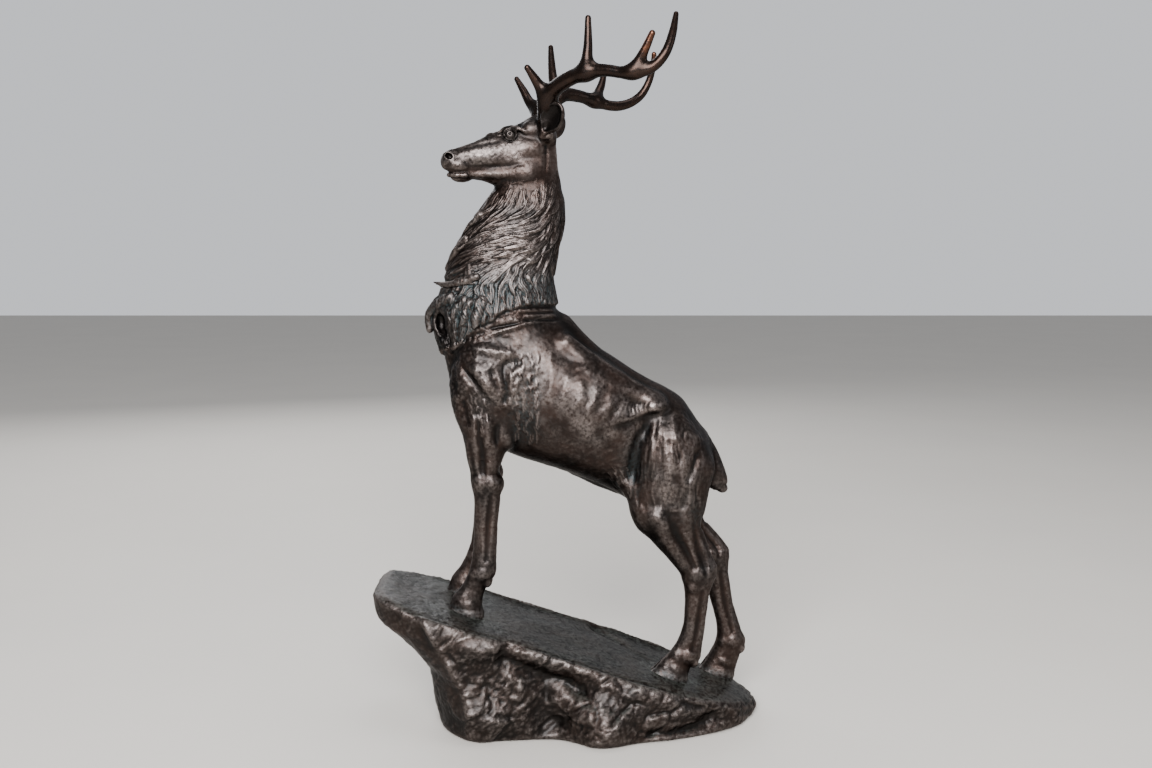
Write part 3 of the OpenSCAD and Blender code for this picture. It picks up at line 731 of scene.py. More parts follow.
def leg_moulds(name):
    """Muscles, tendons, joints and hoof, placed by the leg's own sections."""
    rows, side, _ = LEGS[name]
    rows = np.array(rows, float)

    def on(t, u, v, *radii):
        """A point by section number, front (1) to back (-1), and outward (1) or inward (-1)."""
        k = min(int(t), len(rows) - 2)
        r = rows[k] + (t - k) * (rows[k + 1] - rows[k])
        mid, half = (r[0:2] + r[2:4]) / 2, (r[0:2] - r[2:4]) / 2
        at = mid + u * half
        return (at[0], side * (r[5] + v * r[4]), at[1], *radii)

    out = []

    def rope(spots, blend=3.0, cut=False):
        line = [on(*s) for s in spots]
        if cut:
            # A groove runs out at both ends.
            swell = [0.3] + [1.2] * (len(spots) - 2) + [0.3]
            line = spline([(*r[:3], r[3] * f) for r, f in zip(line, swell)], 3)
        out.append((Chain(line), blend + cut, cut))

    def lump(t, u, v, radii, blend, turn=0):
        out.append((Ball(on(t, u, v), radii, turn), blend))

    if name.endswith("fore"):
        # Two muscles of the forearm and the grooves between them, then the knee.
        rope([(2.0, 0.45, 0.35, 10), (3.2, 0.5, 0.3, 7), (4.5, 0.5, 0.25, 3.5)])
        rope([(2.0, -0.3, 0.5, 9), (3.2, -0.4, 0.45, 6.5), (4.6, -0.55, 0.3, 3)])
        rope([(1.8, 0.1, 1.12, 2.4), (2.8, 0.08, 1.1, 2.4), (3.8, 0.05, 1.1, 2.2),
              (4.6, 0.1, 1.1, 1.8)], 3, True)
        rope([(2.2, 0.7, 1.0, 1.6), (3.2, 0.72, 0.98, 1.6), (4.2, 0.7, 0.95, 1.4)], 3, True)
        for v in (-0.55, 0.55):
            lump(5.0, 0.38, v, (7, 5, 9), 4)
            lump(4.8, -0.35, v, (6.5, 5, 7), 4)
        lump(4.85, -0.72, 0, (5, 5, 8), 4)
        lump(5.3, 0.5, 0, (5.5, 7, 6), 3)
        knee, low, ankle = 5.9, 8.3, 9.1
    else:
        # Two muscles of the gaskin, its grooves and the tendon behind, then the hock.
        rope([(3.0, 0.35, 0.55, 12), (4.0, 0.4, 0.5, 9), (5.2, 0.5, 0.3, 5)], 4)
        rope([(3.0, -0.4, 0.5, 10), (4.0, -0.5, 0.4, 6.5), (5.0, -0.6, 0.2, 4)], 4)
        rope([(2.9, 0.05, 1.15, 2.4), (3.8, -0.02, 1.12, 2.8), (4.6, -0.05, 1.08, 2.6),
              (5.5, 0.05, 1.05, 2)], 4, True)
        for v in (-1, 1):
            rope([(3.6, -0.7, v * 0.9, 2), (4.4, -0.68, v * 0.92, 3), (5.2, -0.56, v, 2.8),
                  (5.9, -0.4, v * 1.1, 2)], 4, True)
        rope([(4.2, -0.9, 0, 3.6), (5.0, -0.88, 0, 4), (5.7, -0.86, 0, 5.2), (6.1, -0.7, 0, 5.5)], 2.5)
        for v in (-0.6, 0.6):
            lump(5.9, 0.1, v, (7, 5, 8), 3, 20)
            lump(6.5, 0.35, v, (5.5, 4.5, 6), 3)
        lump(6.1, 0.55, 0, (6, 7, 8), 3)
        knee, low, ankle = 7.0, 9.3, 10.0
    # The cannon bone, the tendon behind it and the grooves between, then the ankle.
    mid = (knee + low) / 2
    rope([(knee, 0.42, 0, 5.4), (mid, 0.45, 0, 4.8), (low, 0.35, 0, 5)], 3)
    rope([(knee, -0.72, 0, 4), (mid, -0.78, 0, 3.6), (low, -0.7, 0, 4.2)], 2)
    for v in (-1.1, 1.1):
        rope([(knee - 0.3, -0.36, v, 2), (knee + 0.4, -0.38, v, 2.3), (mid, -0.36, v, 2.2),
              (low + 0.1, -0.28, v, 1.8)], 3, True)
    for v in (-0.5, 0.5):
        lump(ankle, -0.1, v, (7.5, 5.5, 7.5), 3)
        lump(ankle + 0.1, 0.45, v * 0.8, (5, 4.5, 6), 3)
        lump(ankle + 0.5, -0.88, v, (4, 3, 5), 3, 25)
    # Hooves: two toes with a cleft, a rounded coronet above and a heel behind.
    sole = len(rows) - 1.0
    for v in (-0.5, 0.5):
        lump(sole - 0.18, -0.3, v, (12.5, 6.6, 8), 4, 18)
        rope([(sole - 0.1, -0.2, v, 6.2), (sole - 0.02, 0.35, v * 0.95, 4.8),
              (sole, 0.8, v * 0.75, 2.8)], 3)
        lump(sole - 0.75, -0.1, v * 1.2, (7, 4.5, 5), 3, 18)
    rope([(sole, 1.2, 0, 1.6), (sole - 0.35, 0.95, 0, 1.5), (sole - 0.8, 0.98, 0, 0.8)], 1.2, True)
    rope([(sole, -1.15, 0, 1.8), (sole - 0.45, -1.05, 0, 1.5)], 1.2, True)
    return out


def ruff_moulds():
    """The free tufts at the front of the mane, and the hollow under its large curl."""
    tufts = [
        [(-84, 33.5, 447.5, 1.4), (-98, 30, 443.5, 2.4), (-112, 22, 440.5, 2.6), (-121, 12, 440.5, 1.9),
         (-130, 5, 442, 0.5)],
        [(-110, 24, 426, 5), (-120, 16, 422, 5.5), (-128, 9, 418.5, 5), (-134, 5, 411, 4.5),
         (-135, 4, 403, 4), (-134.5, 5, 395.5, 2.8)],
        [(-98, 31, 424, 4.5), (-106, 29, 412, 4.6), (-111, 26, 401, 4), (-112, 23, 391, 2)],
        [(-90, 33, 422, 4.5), (-95, 33, 410, 4.4), (-98, 32, 399, 3.4), (-98, 31, 390, 1.6)],
        [(-80, 36, 424, 4), (-84, 37, 412, 4.2), (-86, 37, 404, 3), (-84, 37, 398, 1.4)],
        [(-96, 16, 484, 3), (-104, 12, 474, 3.4), (-110, 7, 464, 2.8), (-116, 3, 455, 1)],
        [(-82, 12, 506, 3), (-90, 9, 498, 3), (-99, 5, 488, 1.2)],
    ]
    out = []
    for s in (-1, 1):
        out.append((Ball((-122.5, s * 20, 402), (7, 11, 11.5), -8), 2.5, True))
        for k, rows in enumerate(tufts):
            # The unseen side's tufts stand a little off the other side's.
            shift = 0 if s < 0 else (2.5 if k % 2 else -2)
            rows = [(x + abs(shift) * 0.6, s * y, z + shift, r) for x, y, z, r in rows]
            out.append((Chain(spline(rows, 3)), 2.0))
        out.append((Chain([(-125, s * 21, 409, 5), (-122, s * 22, 402, 8.5), (-119, s * 22, 393, 8.5),
                           (-116, s * 23, 384, 6.5), (-113, s * 24, 376, 3)]), 3, True))
    return out


# ---- Casting the head ----

def turned(point, angle):
    """A place in the shared frame, swung by `angle` about the head's upright axis."""
    c, s = math.cos(angle), math.sin(angle)
    q = np.asarray(point, float) - HEAD_PIVOT
    x, y, z = q[..., 0], q[..., 1], q[..., 2]
    return np.stack([c * x - s * y, s * x + c * y, z], -1) + HEAD_PIVOT


class Sampled:
    """Another block of clay as a shape, for places that are swung by `angle` into its frame."""

    def __init__(self, clay, angle):
        self.clay, self.angle = clay, angle
        self.low, self.high = clay.low, clay.low + clay.cell * (np.array(clay.count) - 1)
        ends = [np.where(corner, self.high, self.low) for corner in np.ndindex(2, 2, 2)]
        self.ends = turned(ends, -angle)

    def reach(self):
        return self.ends.min(0), self.ends.max(0)

    def distance(self, x, y, z):
        grid = np.stack(np.meshgrid(x, y, z, indexing="ij"), -1)
        flat = turned(grid.reshape(-1, 3), self.angle)
        over = (np.maximum(self.low - flat, flat - self.high) > 0).any(1)
        return np.where(over, FAR, self.clay.sample(flat)).reshape(grid.shape[:3])


def head_moulds():
    out = [(Loft(HEAD, power=2.3), 0.5)]

    def rope(rows, blend, cut=False):
        for s in (-1, 1):
            out.append((Chain(mirrored(rows, s)), blend, cut))

    def lump(centre, radii, blend, turn=0, yaw=0, cut=False):
        x, y, z = centre
        for s in (-1, 1) if y else (1,):
            out.append((Ball((x, s * y, z), radii, turn, s * yaw), blend, cut))

    lump((-24, 0, 594), (15, 14, 11), 5)  # forehead
    lump((-60, 4.8, 566.5), (47, 10.2, 15), 3, -5)  # cheek
    lump((-34, 8, 572), (16, 10, 10), 5)  # under the eye
    lump((-38, 8.5, 549), (16, 11, 14.5), 3, -15)  # jaw muscle
    # The jaw's edge, the groove over it, the one behind the jaw and the one along the bridge.
    rope([(-100, 5, 547, 2.4), (-80, 7.2, 546.6, 3), (-62, 9.5, 547, 3.8), (-48, 11, 548, 5)], 3)
    rope([(-96, 11.4, 553.5, 0.6), (-84, 12.2, 553.2, 1.7), (-70, 14, 553.6, 2.5), (-56, 17, 554.5, 2.8),
          (-44, 19.8, 556.5, 2)], 2, True)
    rope([(-20.5, 18, 577, 1.2), (-20.5, 18, 562, 2.4), (-21.5, 16.5, 549, 2.4), (-27, 14, 536, 1.8)],
         3, True)
    lump((-74, 0, 585), (3.4, 3, 2), 2, -20)  # a bump on the bridge
    rope([(-100, 8.8, 572, 0.6), (-90, 10, 574, 1.6), (-78, 11.6, 577, 2), (-68, 13.5, 578.5, 1.4)], 4, True)
    # Muzzle, nostrils and mouth, with the folds at the mouth's corner.
    lump((-111, 0, 560), (10, 9.5, 9.5), 3, 10)
    lump((-116, 0, 559), (5.5, 7.5, 7.5), 2, 8)
    lump((-113, 6.2, 563.5), (6, 3.6, 4.6), 1.5, 12, -20)
    lump((-114.4, 8.8, 563.6), (4.4, 3.2, 2.9), 0.8, 20, -30, cut=True)
    rope([(-110, 10.2, 566, 0.8), (-107.5, 10.6, 563, 0.9), (-109, 10.4, 559.5, 0.8)], 0.8, True)
    lump((-104, 7.6, 555.5), (9, 4.2, 6), 2, 4)  # upper lip
    lump((-102, 0, 544.6), (10.5, 6.8, 5.2), 2, 2)  # chin
    rope([(-114, 3.5, 546.4, 2), (-107, 6.8, 545.8, 2.4), (-98, 8, 545.8, 2.4)], 1.2)
    rope([(-119, 0.5, 550.6, 0.8), (-114.5, 7, 549.2, 1), (-106, 11.5, 549.4, 1.1),
          (-98, 12, 549.8, 1.1), (-91.5, 11.6, 547.6, 0.9)], 0.6, True)
    rope([(-94, 11.6, 560, 0.7), (-91.5, 12, 555, 0.9), (-90, 12, 550, 0.8)], 0.8, True)
    rope([(-98.5, 11.4, 558, 0.6), (-96.5, 11.8, 553, 0.7)], 0.8, True)
    # Eyes: a socket, the ball, a ring of lids, the pupil, the tear duct, the brow and a fold behind.
    lump((-55.5, 17.5, 584.5), (8.6, 5, 7.4), 2.2, cut=True)
    lump((-55.5, 12.4, 584.6), 6.1, 0.3)
    lids = []
    for a in np.linspace(0, 2 * math.pi, 13):
        c, s = math.cos(a), math.sin(a)
        lids.append((-55.5 + 6.4 * c, 16.2 - 0.9 * abs(c), 584.6 + 5.4 * s, 0.6 + 0.5 * max(s, 0)))
    rope(lids, 0.7)
    lump((-56.2, 18.6, 584.8), (1.9, 1.2, 1.9), 0.3, cut=True)
    rope([(-61.5, 16.2, 581.5, 1.2), (-66, 14.8, 579.5, 1.6), (-71, 13.4, 577.5, 1)], 0.9, True)
    rope([(-66, 11, 586.5, 1.3), (-61, 12.6, 590, 1.9), (-54, 13.8, 591.4, 2.2), (-47, 14.8, 590.4, 1.7),
          (-41, 15.6, 587.5, 1)], 3.5)
    rope([(-46, 17.6, 583, 0.9), (-38, 18.2, 583.6, 1.2), (-29, 17.5, 584, 0.9)], 1.5, True)
    lump((-32, 11, 590), (11, 6, 8), 5)  # temple
    # The stumps that the antlers and the ears stand on.
    for name, (x, y, z) in BURRS.items():
        s = -1 if name == "left" else 1
        foot = turned((x, s * y, z), -HEAD_TURN)
        root = foot + np.array([2, -s * 4.5, -14])
        out.append((Chain([(*root, 9), (*foot, 7.6)]), 4))
    for s in (-1, 1):
        root = turned((EAR_ROOT[0] - 3, s * (EAR_ROOT[1] - 2), EAR_ROOT[2] + 2), -HEAD_TURN)
        out.append((Ball(root, (6, 5, 6)), 4))
    return out


def antler_clay(name, cell):
    side = -1 if name == "left" else 1
    beam = spline(mirrored(BEAMS[name], side), 4)
    burr = np.array(BURRS[name], float) * (1, side, 1)
    lines = [beam] + [spline(mirrored(t, side), 5) for t in TINES[name]]
    every = np.concatenate(lines)
    clay = Clay(every[:, :3].min(0) - 14, every[:, :3].max(0) + 12, cell)
    foot = np.array([[*burr, ANTLER_R * 0.98], [*(burr * 0.5 + beam[3, :3] * 0.5), ANTLER_R]])
    clay.add(Chain(foot), 2)
    clay.add(Chain(beam), 2)
    for tine in lines[1:]:
        clay.add(Chain(tine), 9)
    axis = np.array([0, side * math.sin(BURR_TILT), math.cos(BURR_TILT)])
    u = np.array([1.0, 0, 0])
    v = np.cross(axis, u)
    beads = 15
    for k in range(beads):
        a = 2 * math.pi * k / beads
        at = burr + 1.2 * axis + 7.6 * (math.cos(a) * u + math.sin(a) * v)
        clay.add(Ball(at, (1.9, 1.9, 2.2)), 1.2)
        top = at + axis * (9 + 3 * math.sin(5 * a)) - 0.4 * (math.cos(a) * u + math.sin(a) * v)
        clay.add(Chain([(*at, 0.9), (*top, 0.5)]), 1.6)
    return clay


def ear_frame(side):
    """Columns: the way the cup opens, across the ear, and from its root to its tip."""
    along = unit(np.array([17, side * 15, 27.0]))
    opening = np.array([-0.28, side * 0.95, 0.1])
    opening = unit(opening - (opening @ along) * along)
    return np.stack([opening, np.cross(along, opening), along], 1)


def ear_clay(cell):
    """An ear upright on the origin, its cup open towards +X."""
    clay = Clay((-12, -16, -8), (14, 16, 40), cell)
    clay.add(Chain([(-1, 0, -6, 4), (-0.5, 0, 1, 4.4), (-0.5, 0, 6, 5.2)]), 3)
    clay.add(Ball((0, 0, 15), (5.4, 12.5, 14.5)), 4)
    clay.add(Ball((0.5, 0, 21), (4, 9, 11)), 4)
    clay.add(Ball((6.0, 0, 15.5), (6.9, 11.4, 13.4)), 0.8, True)
    clay.add(Ball((5.2, 0, 22), (5, 7.6, 8.8)), 2, True)
    clay.add(Ball((5.0, 0, 6), (5, 4.4, 6)), 2, True)
    return clay


# ---- Working the surfaces ----

# Ridges, and grooves where the height is negative: a line in the side view, its half width, its
# height and, where it isn't a quarter, the share of its length over which each end fades.
STROKES = [
    # Back and loin
    ([(-8, 392), (16, 377), (36, 363), (53, 351), (72, 341), (92, 330)], 6, -1.8),
    ([(4, 366), (21, 358), (40, 346), (58, 337), (80, 329)], 7, 1.8),
    ([(96, 330), (110, 318), (124, 300), (133, 284)], 5, 1.2),
    # Withers band under the mane
    ([(-48, 414.5), (-24, 415.5), (-3, 413)], 1.7, 1.2),
    ([(-42, 409.5), (-24, 410.5), (-3, 409)], 1.5, 1.2),
    ([(-42, 405.8), (-24, 406.2), (-4, 405)], 1.3, -1.6),
    ([(-76, 397), (-58, 401), (-39, 404)], 1.5, -1.4),
    # Shoulder
    ([(-98, 386), (-90, 394), (-76, 399)], 3, 1),
    ([(-95, 379), (-80, 378), (-62, 375), (-42, 371)], 4.5, 2),
    ([(-60, 370), (-54, 364), (-47, 366), (-42, 360)], 6.5, -3.4, 0.3),
    ([(-101, 366), (-92, 352), (-84, 343), (-76, 331), (-64, 321)], 3.2, -2.2),
    ([(-62, 320), (-56, 336), (-58, 352), (-61, 368)], 3.2, -2.2),
    ([(-88, 366), (-80, 352), (-70, 336)], 6, 1.6),
    ([(-72, 362), (-67, 348), (-63, 336)], 2.4, -1),
    ([(-108, 384), (-111, 366), (-109, 348), (-103, 330)], 4.5, -2.4),
    ([(-100, 334), (-97, 318), (-92, 300)], 3.6, -1.8),
    ([(-74, 314), (-74, 298), (-75, 280)], 3.8, 1.6),
    ([(-83, 312), (-84, 296), (-84, 280)], 2.4, -1.5),
    ([(-65, 308), (-66, 294), (-66, 280)], 2.4, -1.5),
    # Flank
    ([(86, 312), (77, 298), (70, 282), (67, 262), (66, 240)], 6, -4.0),
    ([(60, 240), (52, 250), (44, 258)], 5, 1.2),
    # Thigh and buttock
    ([(94, 296), (92, 272), (94, 242)], 4.2, -1.4, 0.4),
    ([(113, 290), (111, 268), (108, 240)], 4.2, -1.2, 0.4),
    ([(103, 314), (106, 304), (104, 286)], 5, 1.6),
    ([(132, 283), (127, 266), (118, 244)], 4, -2.4),
]
# Swellings and hollows: middle, half length, half height, lift and lean in degrees.
PATCHES = [
    (-40, 300, 14, 26, -3.4, 12), (-30, 352, 10, 26, -1.6, 12), (8, 346, 24, 16, 1.6, -30),
    (48, 330, 18, 10, 1.2, -30), (88, 321, 8, 5, 1.0), (130, 288, 6, 6, 1.6),
    (98, 207, 9, 10, 1.4, -20),
]
BACK_EDGE = [(-8, 392), (16, 377), (36, 363), (53, 351), (72, 341), (92, 330), (110, 318), (133, 284)]
MANE_EDGE = [
    (-150, 366), (-122, 372), (-110, 376), (-102, 381), (-97, 388), (-89, 395), (-82, 400), (-72, 404),
    (-65, 408), (-57, 413), (-48, 417), (-28, 420), (-1, 418), (30, 418),
]


def body_relief(surface, calm=1.0):
    """Muscle lines, folds and hair on the neck, the barrel and the tops of the legs."""
    r = Relief(surface)
    x, z = r.x, r.z
    for stroke in STROKES:
        r.stroke(*stroke)
    for patch in PATCHES:
        r.height += swelling(x, z, *patch) * r.facing
    # Ribs, behind the shoulder to the last one
    for k in range(6):
        top = (-14 + 15 * k, 376 - 8 * k)
        low = (-24 + 13 * k, 316 - 3 * k)
        r.stroke([top, (top[0] + 1 - k, (top[1] + low[1]) / 2), low], 4.2, 0.9, 0.4)
    r.ledge([(24, 297), (47, 304), (64, 308), (80, 315), (95, 318)], 1.4, 2.6, 11, 14, 8)
    for k in range(6):
        a = 62 + 3.8 * k
        r.stroke([(a + 3, 329 + 0.3 * k), (a - 1, 320 + 0.5 * k), (a + 1.5, 312 + 0.5 * k)], 1.5, -0.9, 0.4)
    r.ledge([(76, 228), (95, 220), (112, 218), (133, 223)], 0.5, 1.0, 7, 7, 7)
    r.comb(((62, 318), (140, 216)), (-0.05, -1.0), 3.4, 6, 0.8, 47)
    r.comb(((-20, 300), (80, 236)), (-0.9, -0.42), 3.0, 5, 0.30, 41)
    r.comb(((-18, 372), (80, 304)), (-0.6, -0.8), 3.6, 4, 0.30, 43)
    # Cast skin: hammered over the shoulder, finer elsewhere
    over = ease((z - 296) / 30) * ease((-24 - x) / 30)
    back = np.array(BACK_EDGE, float)
    band = ease((z - np.interp(x, back[:, 0], back[:, 1]) - 3) / 9) * (x > back[0, 0])
    finer = (0.20 + 0.24 * over) * (1 - 0.85 * band)
    r.height += finer * layered(r.p, 9, 3, 4, 0.62) + 0.8 * over * np.minimum(cells(r.p, 6, 9)[1], 0.5)
    in_mane = mane_mask(r.p)
    height = r.height * (1 - 0.85 * in_mane) * calm
    inside = np.where(in_mane > 0.01)[0]
    if len(inside):
        q = r.p[inside]
        hollow = spot(q[:, 0], q[:, 2], -123.5, 402, 9, 13, power=4)
        free = ease((-100 - q[:, 0]) / 10) * np.exp(-((q[:, 2] - 441) / 4) ** 4)
        curl = ease((-126 - q[:, 0]) / 4) * ease((q[:, 2] - 388) / 6)
        hair = mane_locks.relief(q) * (1 - 0.85 * np.maximum(np.maximum(hollow, free), 0.7 * curl))
        bare = 1 - ease(hair / 0.5)
        height[inside] += in_mane[inside] * (hair + 0.25 * bare * layered(r.p[inside], 4, 12, 2))
    outside = np.where((in_mane < 0.99) & (z > 230) & (z < 400))[0]
    if len(outside):
        height[outside] += (1 - in_mane[outside]) * tuft_locks.relief(r.p[outside])
    return height


def mane_mask(p):
    """1 where the mane covers the skin, 0 outside it."""
    edge = np.array(MANE_EDGE, float)
    low = np.interp(p[:, 0], edge[:, 0], edge[:, 1])
    ragged = 3.5 * ease((-40 - p[:, 0]) / 20) * noise(p, 7, 61)
    nape = ease((p[:, 0] + 16) / 8) * ease((p[:, 2] - 500) / 20)
    jaw = np.interp(p[:, 0], [-80, -30, -16, 0], [537, 538, 546, 556])
    return ease((p[:, 2] - low + ragged + 1) / 3.5) * ease((jaw - p[:, 2]) / 8) * (1 - 0.8 * nape)


def coat_relief(height, seed):
    """The light tool marks of a smooth casting, as a relief."""
    return lambda surface: height * layered(surface.points, 5, seed, 3)


def painted_highlight_planes(p):
    """Share of the skin on the broad planes of shoulder, ribs, thigh, cheek and mane that is painted pale: a
    painted highlight.
    """
    x, _, z = p.T
    planes = {
        "shoulder": (-38, 348, 42, 34), "ribs": (42, 312, 52, 30), "thigh": (108, 252, 20, 34),
        "cheek": (-62, 570, 40, 13), "mane": (-50, 465, 34, 34),
    }
    share = sum(spot(x, z, *plane, power=4) for plane in planes.values())
    return np.clip(np.minimum(share, 1) * (0.6 + 0.8 * noise(p, 11, 91)), 0, 1)


def wear_dirt_and_painted_light(surface, green=0.0, rub=None):
    """Shares for the patina: wear on what stands out plus a painted highlight on the broad planes,
    hollow in what lies deep, green where wet. With `rub` the wear share is that much less, and the broad
    planes get no painted highlight."""
    fine = surface.depth(surface.rounds(1.6))
    broad = surface.depth(surface.rounds(5.0))
    worn_and_lit = np.clip(-fine / 0.3, 0, 1) * 0.35 + np.clip(-broad / 2.4, 0, 1) * 0.3
    hollow = np.clip(fine / 0.3, 0, 1) * 0.5 + np.clip(broad / 1.3, 0, 1) * 0.8
    # Without `rub`, a painted highlight on the broad planes is added to the wear share.
    worn_and_lit = worn_and_lit * rub if rub else worn_and_lit + 0.5 * painted_highlight_planes(surface.points)
    green = green + np.zeros(len(worn_and_lit))
    return {"worn_and_lit": np.clip(worn_and_lit, 0, 1), "hollow": np.clip(hollow, 0, 1), "green": green}


# ---- From surfaces to pieces ----

def trimmed(points, faces, cuts):
    """Drops what lies past each cut and brings its rim onto the plane of the cut."""
    points = points.copy()
    for at, outward, where in cuts:
        past = (points - at) @ outward
        over = (past > 0) & where(*points.T)
        faces = faces[~over[faces].all(1)]
        points[over] -= past[over, None] * np.array(outward)
    return tidied(points, faces)


def placed(name, data):
    """A new object in the scene."""
    thing = bpy.data.objects.new(name, data)
    bpy.context.scene.collection.objects.link(thing)
    return thing


def make_piece(name, node, surface, shares, cuts=(), material=None):
    """A closed mesh in metres; each cut is (a point, the outward normal, a test for where)."""
    points, faces, used = trimmed(surface.points, surface.faces, cuts)
    mesh = bpy.data.meshes.new(name)
    mesh.from_pydata((points * MM).tolist(), [], faces.tolist())
    for key, values in shares.items():
        layer = mesh.attributes.new(key, "FLOAT", "POINT")
        layer.data.foreach_set("value", np.asarray(values[used], np.float32))
    bm = bmesh.new()
    bm.from_mesh(mesh)
    rim = [e for e in bm.edges if e.is_boundary]
    if rim:
        bmesh.ops.holes_fill(bm, edges=rim, sides=0)
    bmesh.ops.recalc_face_normals(bm, faces=bm.faces)
    bm.to_mesh(mesh)
    bm.free()
    mesh.polygons.foreach_set("use_smooth", np.ones(len(mesh.polygons), bool))
    piece = placed(name, mesh)
    mesh.materials.append(material or BRONZE)
    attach(piece, "root")
    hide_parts(node)
    return piece


def seam_plane(row, y=0):
    """Middle of a seam and the direction across it, to the left of the way along it."""
    x0, z0, x1, z1 = row[:4]
    along = unit(np.array([x1 - x0, z1 - z0], float))
    return np.array([(x0 + x1) / 2, y, (z0 + z1) / 2]), np.array([-along[1], 0, along[0]])


def leg_seam(name):
    """A leg's seam with the torso: its middle and the direction across it, up."""
    rows, side, seam = LEGS[name]
    at, up = seam_plane(rows[seam], side * rows[seam][5])
    return at, up if up[2] > 0 else -up


def anywhere(x, y, z):
    return np.ones(len(x), bool)


# ---- Materials ----

def feed(node, inputs):
    """Sets a node's sockets: each to a number, a colour or another node's output."""
    for key, value in inputs.items():
        if isinstance(value, bpy.types.NodeSocket):
            node.id_data.links.new(value, node.inputs[key])
        else:
            node.inputs[key].default_value = value


def add_node(tree, kind, inputs, **settings):
    node = tree.nodes.new(kind)
    for key, value in settings.items():
        setattr(node, key, value)
    feed(node, inputs)
    return node


class Nodes:
    """Lays out a material's nodes."""

    def __init__(self, name):
        self.material = bpy.data.materials.new(name)
        self.material.use_nodes = True
        self.tree = self.material.node_tree

    def share(self, name):
        return add_node(self.tree, "ShaderNodeAttribute", {}, attribute_name=name).outputs["Fac"]

    def noise(self, scale, detail=4, rough=0.55, stretch=None):
        place = add_node(self.tree, "ShaderNodeTexCoord", {}).outputs["Object"]
        if stretch:
            place = add_node(self.tree, "ShaderNodeMapping", {"Vector": place, "Scale": stretch}).outputs[0]
        inputs = {"Vector": place, "Scale": scale, "Detail": detail, "Roughness": rough}
        return add_node(self.tree, "ShaderNodeTexNoise", inputs).outputs["Fac"]

    def span(self, value, low, high, to_low=0.0, to_high=1.0):
        inputs = {"Value": value, "From Min": low, "From Max": high, "To Min": to_low, "To Max": to_high}
        return add_node(self.tree, "ShaderNodeMapRange", inputs).outputs["Result"]

    def math(self, operation, a, b):
        return add_node(self.tree, "ShaderNodeMath", {0: a, 1: b}, operation=operation).outputs[0]

    def mix(self, share, a, b):
        node = add_node(self.tree, "ShaderNodeMix", {"Factor": share}, data_type="RGBA")
        ends = [k for k, socket in enumerate(node.inputs) if socket.type == "RGBA"]
        feed(node, {k: (*c, 1) if isinstance(c, tuple) else c for k, c in zip(ends, (a, b))})
        return [socket for socket in node.outputs if socket.type == "RGBA"][0]

    def bump(self, height, distance, strength, over=None):
        inputs = {"Height": height, "Distance": distance, "Strength": strength}
        if over:
            inputs["Normal"] = over
        return add_node(self.tree, "ShaderNodeBump", inputs).outputs["Normal"]

    def finish(self, **values):
        """Sets the shader's sockets, each named as its keyword, and gives the material."""
        feed(self.tree.nodes["Principled BSDF"], {key.replace("_", " "): v for key, v in values.items()})
        return self.material


def patina(name, dark, mid, worn_and_lit, green, rough, grain, dull):
    """Bronze with a dark patina: paler on what stands out, from wear and from a painted highlight on the
    broad planes; darker in its hollows, where patina gathers and, on the head, neck curl and ears, painted
    shade; green where it is wet.
    `rough` is its mean roughness, `grain` its bump in metres and `dull` how little metal shows
    through the green."""
    n = Nodes(name)
    blotch = n.noise(28, 5)
    fine = n.noise(330, 4, 0.6)
    speck = n.noise(900, 3, 0.7)
    # Paler where the wear share is: rubbed high points, and the painted highlight on the broad planes.
    rubbed_and_lit = n.math("MULTIPLY", n.share("worn_and_lit"), n.span(fine, 0.3, 0.62))
    # Darker where the hollow share is: patina in the recesses, and painted shade round the eye, nostril,
    # jaw, neck curl and ear cup.
    deep = n.math("MULTIPLY", n.share("hollow"), n.span(blotch, 0.3, 0.6, 0.35, 1.0))
    crust = n.math("MULTIPLY", n.share("green"), n.span(fine, 0.36, 0.6))
    crust = n.math("MULTIPLY", crust, n.span(speck, 0.3, 0.6, 0.4, 1.0))
    colour = n.mix(n.span(blotch, 0.38, 0.62), dark, mid)
    colour = n.mix(rubbed_and_lit, colour, worn_and_lit)
    colour = n.mix(deep, colour, tuple(c * 0.35 for c in dark))
    colour = n.mix(crust, colour, green)
    metal = n.math("SUBTRACT", 0.92, n.math("MULTIPLY", crust, dull))
    gloss = n.span(fine, 0.25, 0.75, rough - 0.07, rough + 0.09)
    gloss = n.math("ADD", gloss, n.math("MULTIPLY", crust, 0.35))
    gloss = n.math("SUBTRACT", gloss, n.math("MULTIPLY", rubbed_and_lit, 0.06))
    pits = n.math("ADD", fine, n.math("MULTIPLY", speck, 0.5))
    skin = n.bump(pits, grain, 0.6, n.bump(blotch, 0.0006, 0.4))
    return n.finish(Base_Color=colour, Metallic=metal, Roughness=gloss, Normal=skin, Coat_Weight=0.2,
                    Coat_Roughness=0.32, Specular_Tint=(0.35, 0.33, 0.32, 1))


def plain(name, tone, dull, rough, metallic=1.0, stretch=None, sheen=0.0):
    """The finish of a fastening, of the board or of the felt."""
    n = Nodes(name)
    fine = n.noise(260, 4, 0.6, stretch)
    return n.finish(Base_Color=n.mix(n.span(fine, 0.35, 0.65), tone, dull),
                    Roughness=n.span(fine, 0.3, 0.7, rough - 0.06, rough + 0.1),
                    Normal=n.bump(fine, 0.00012, 0.5), Metallic=metallic, Sheen_Weight=sheen)


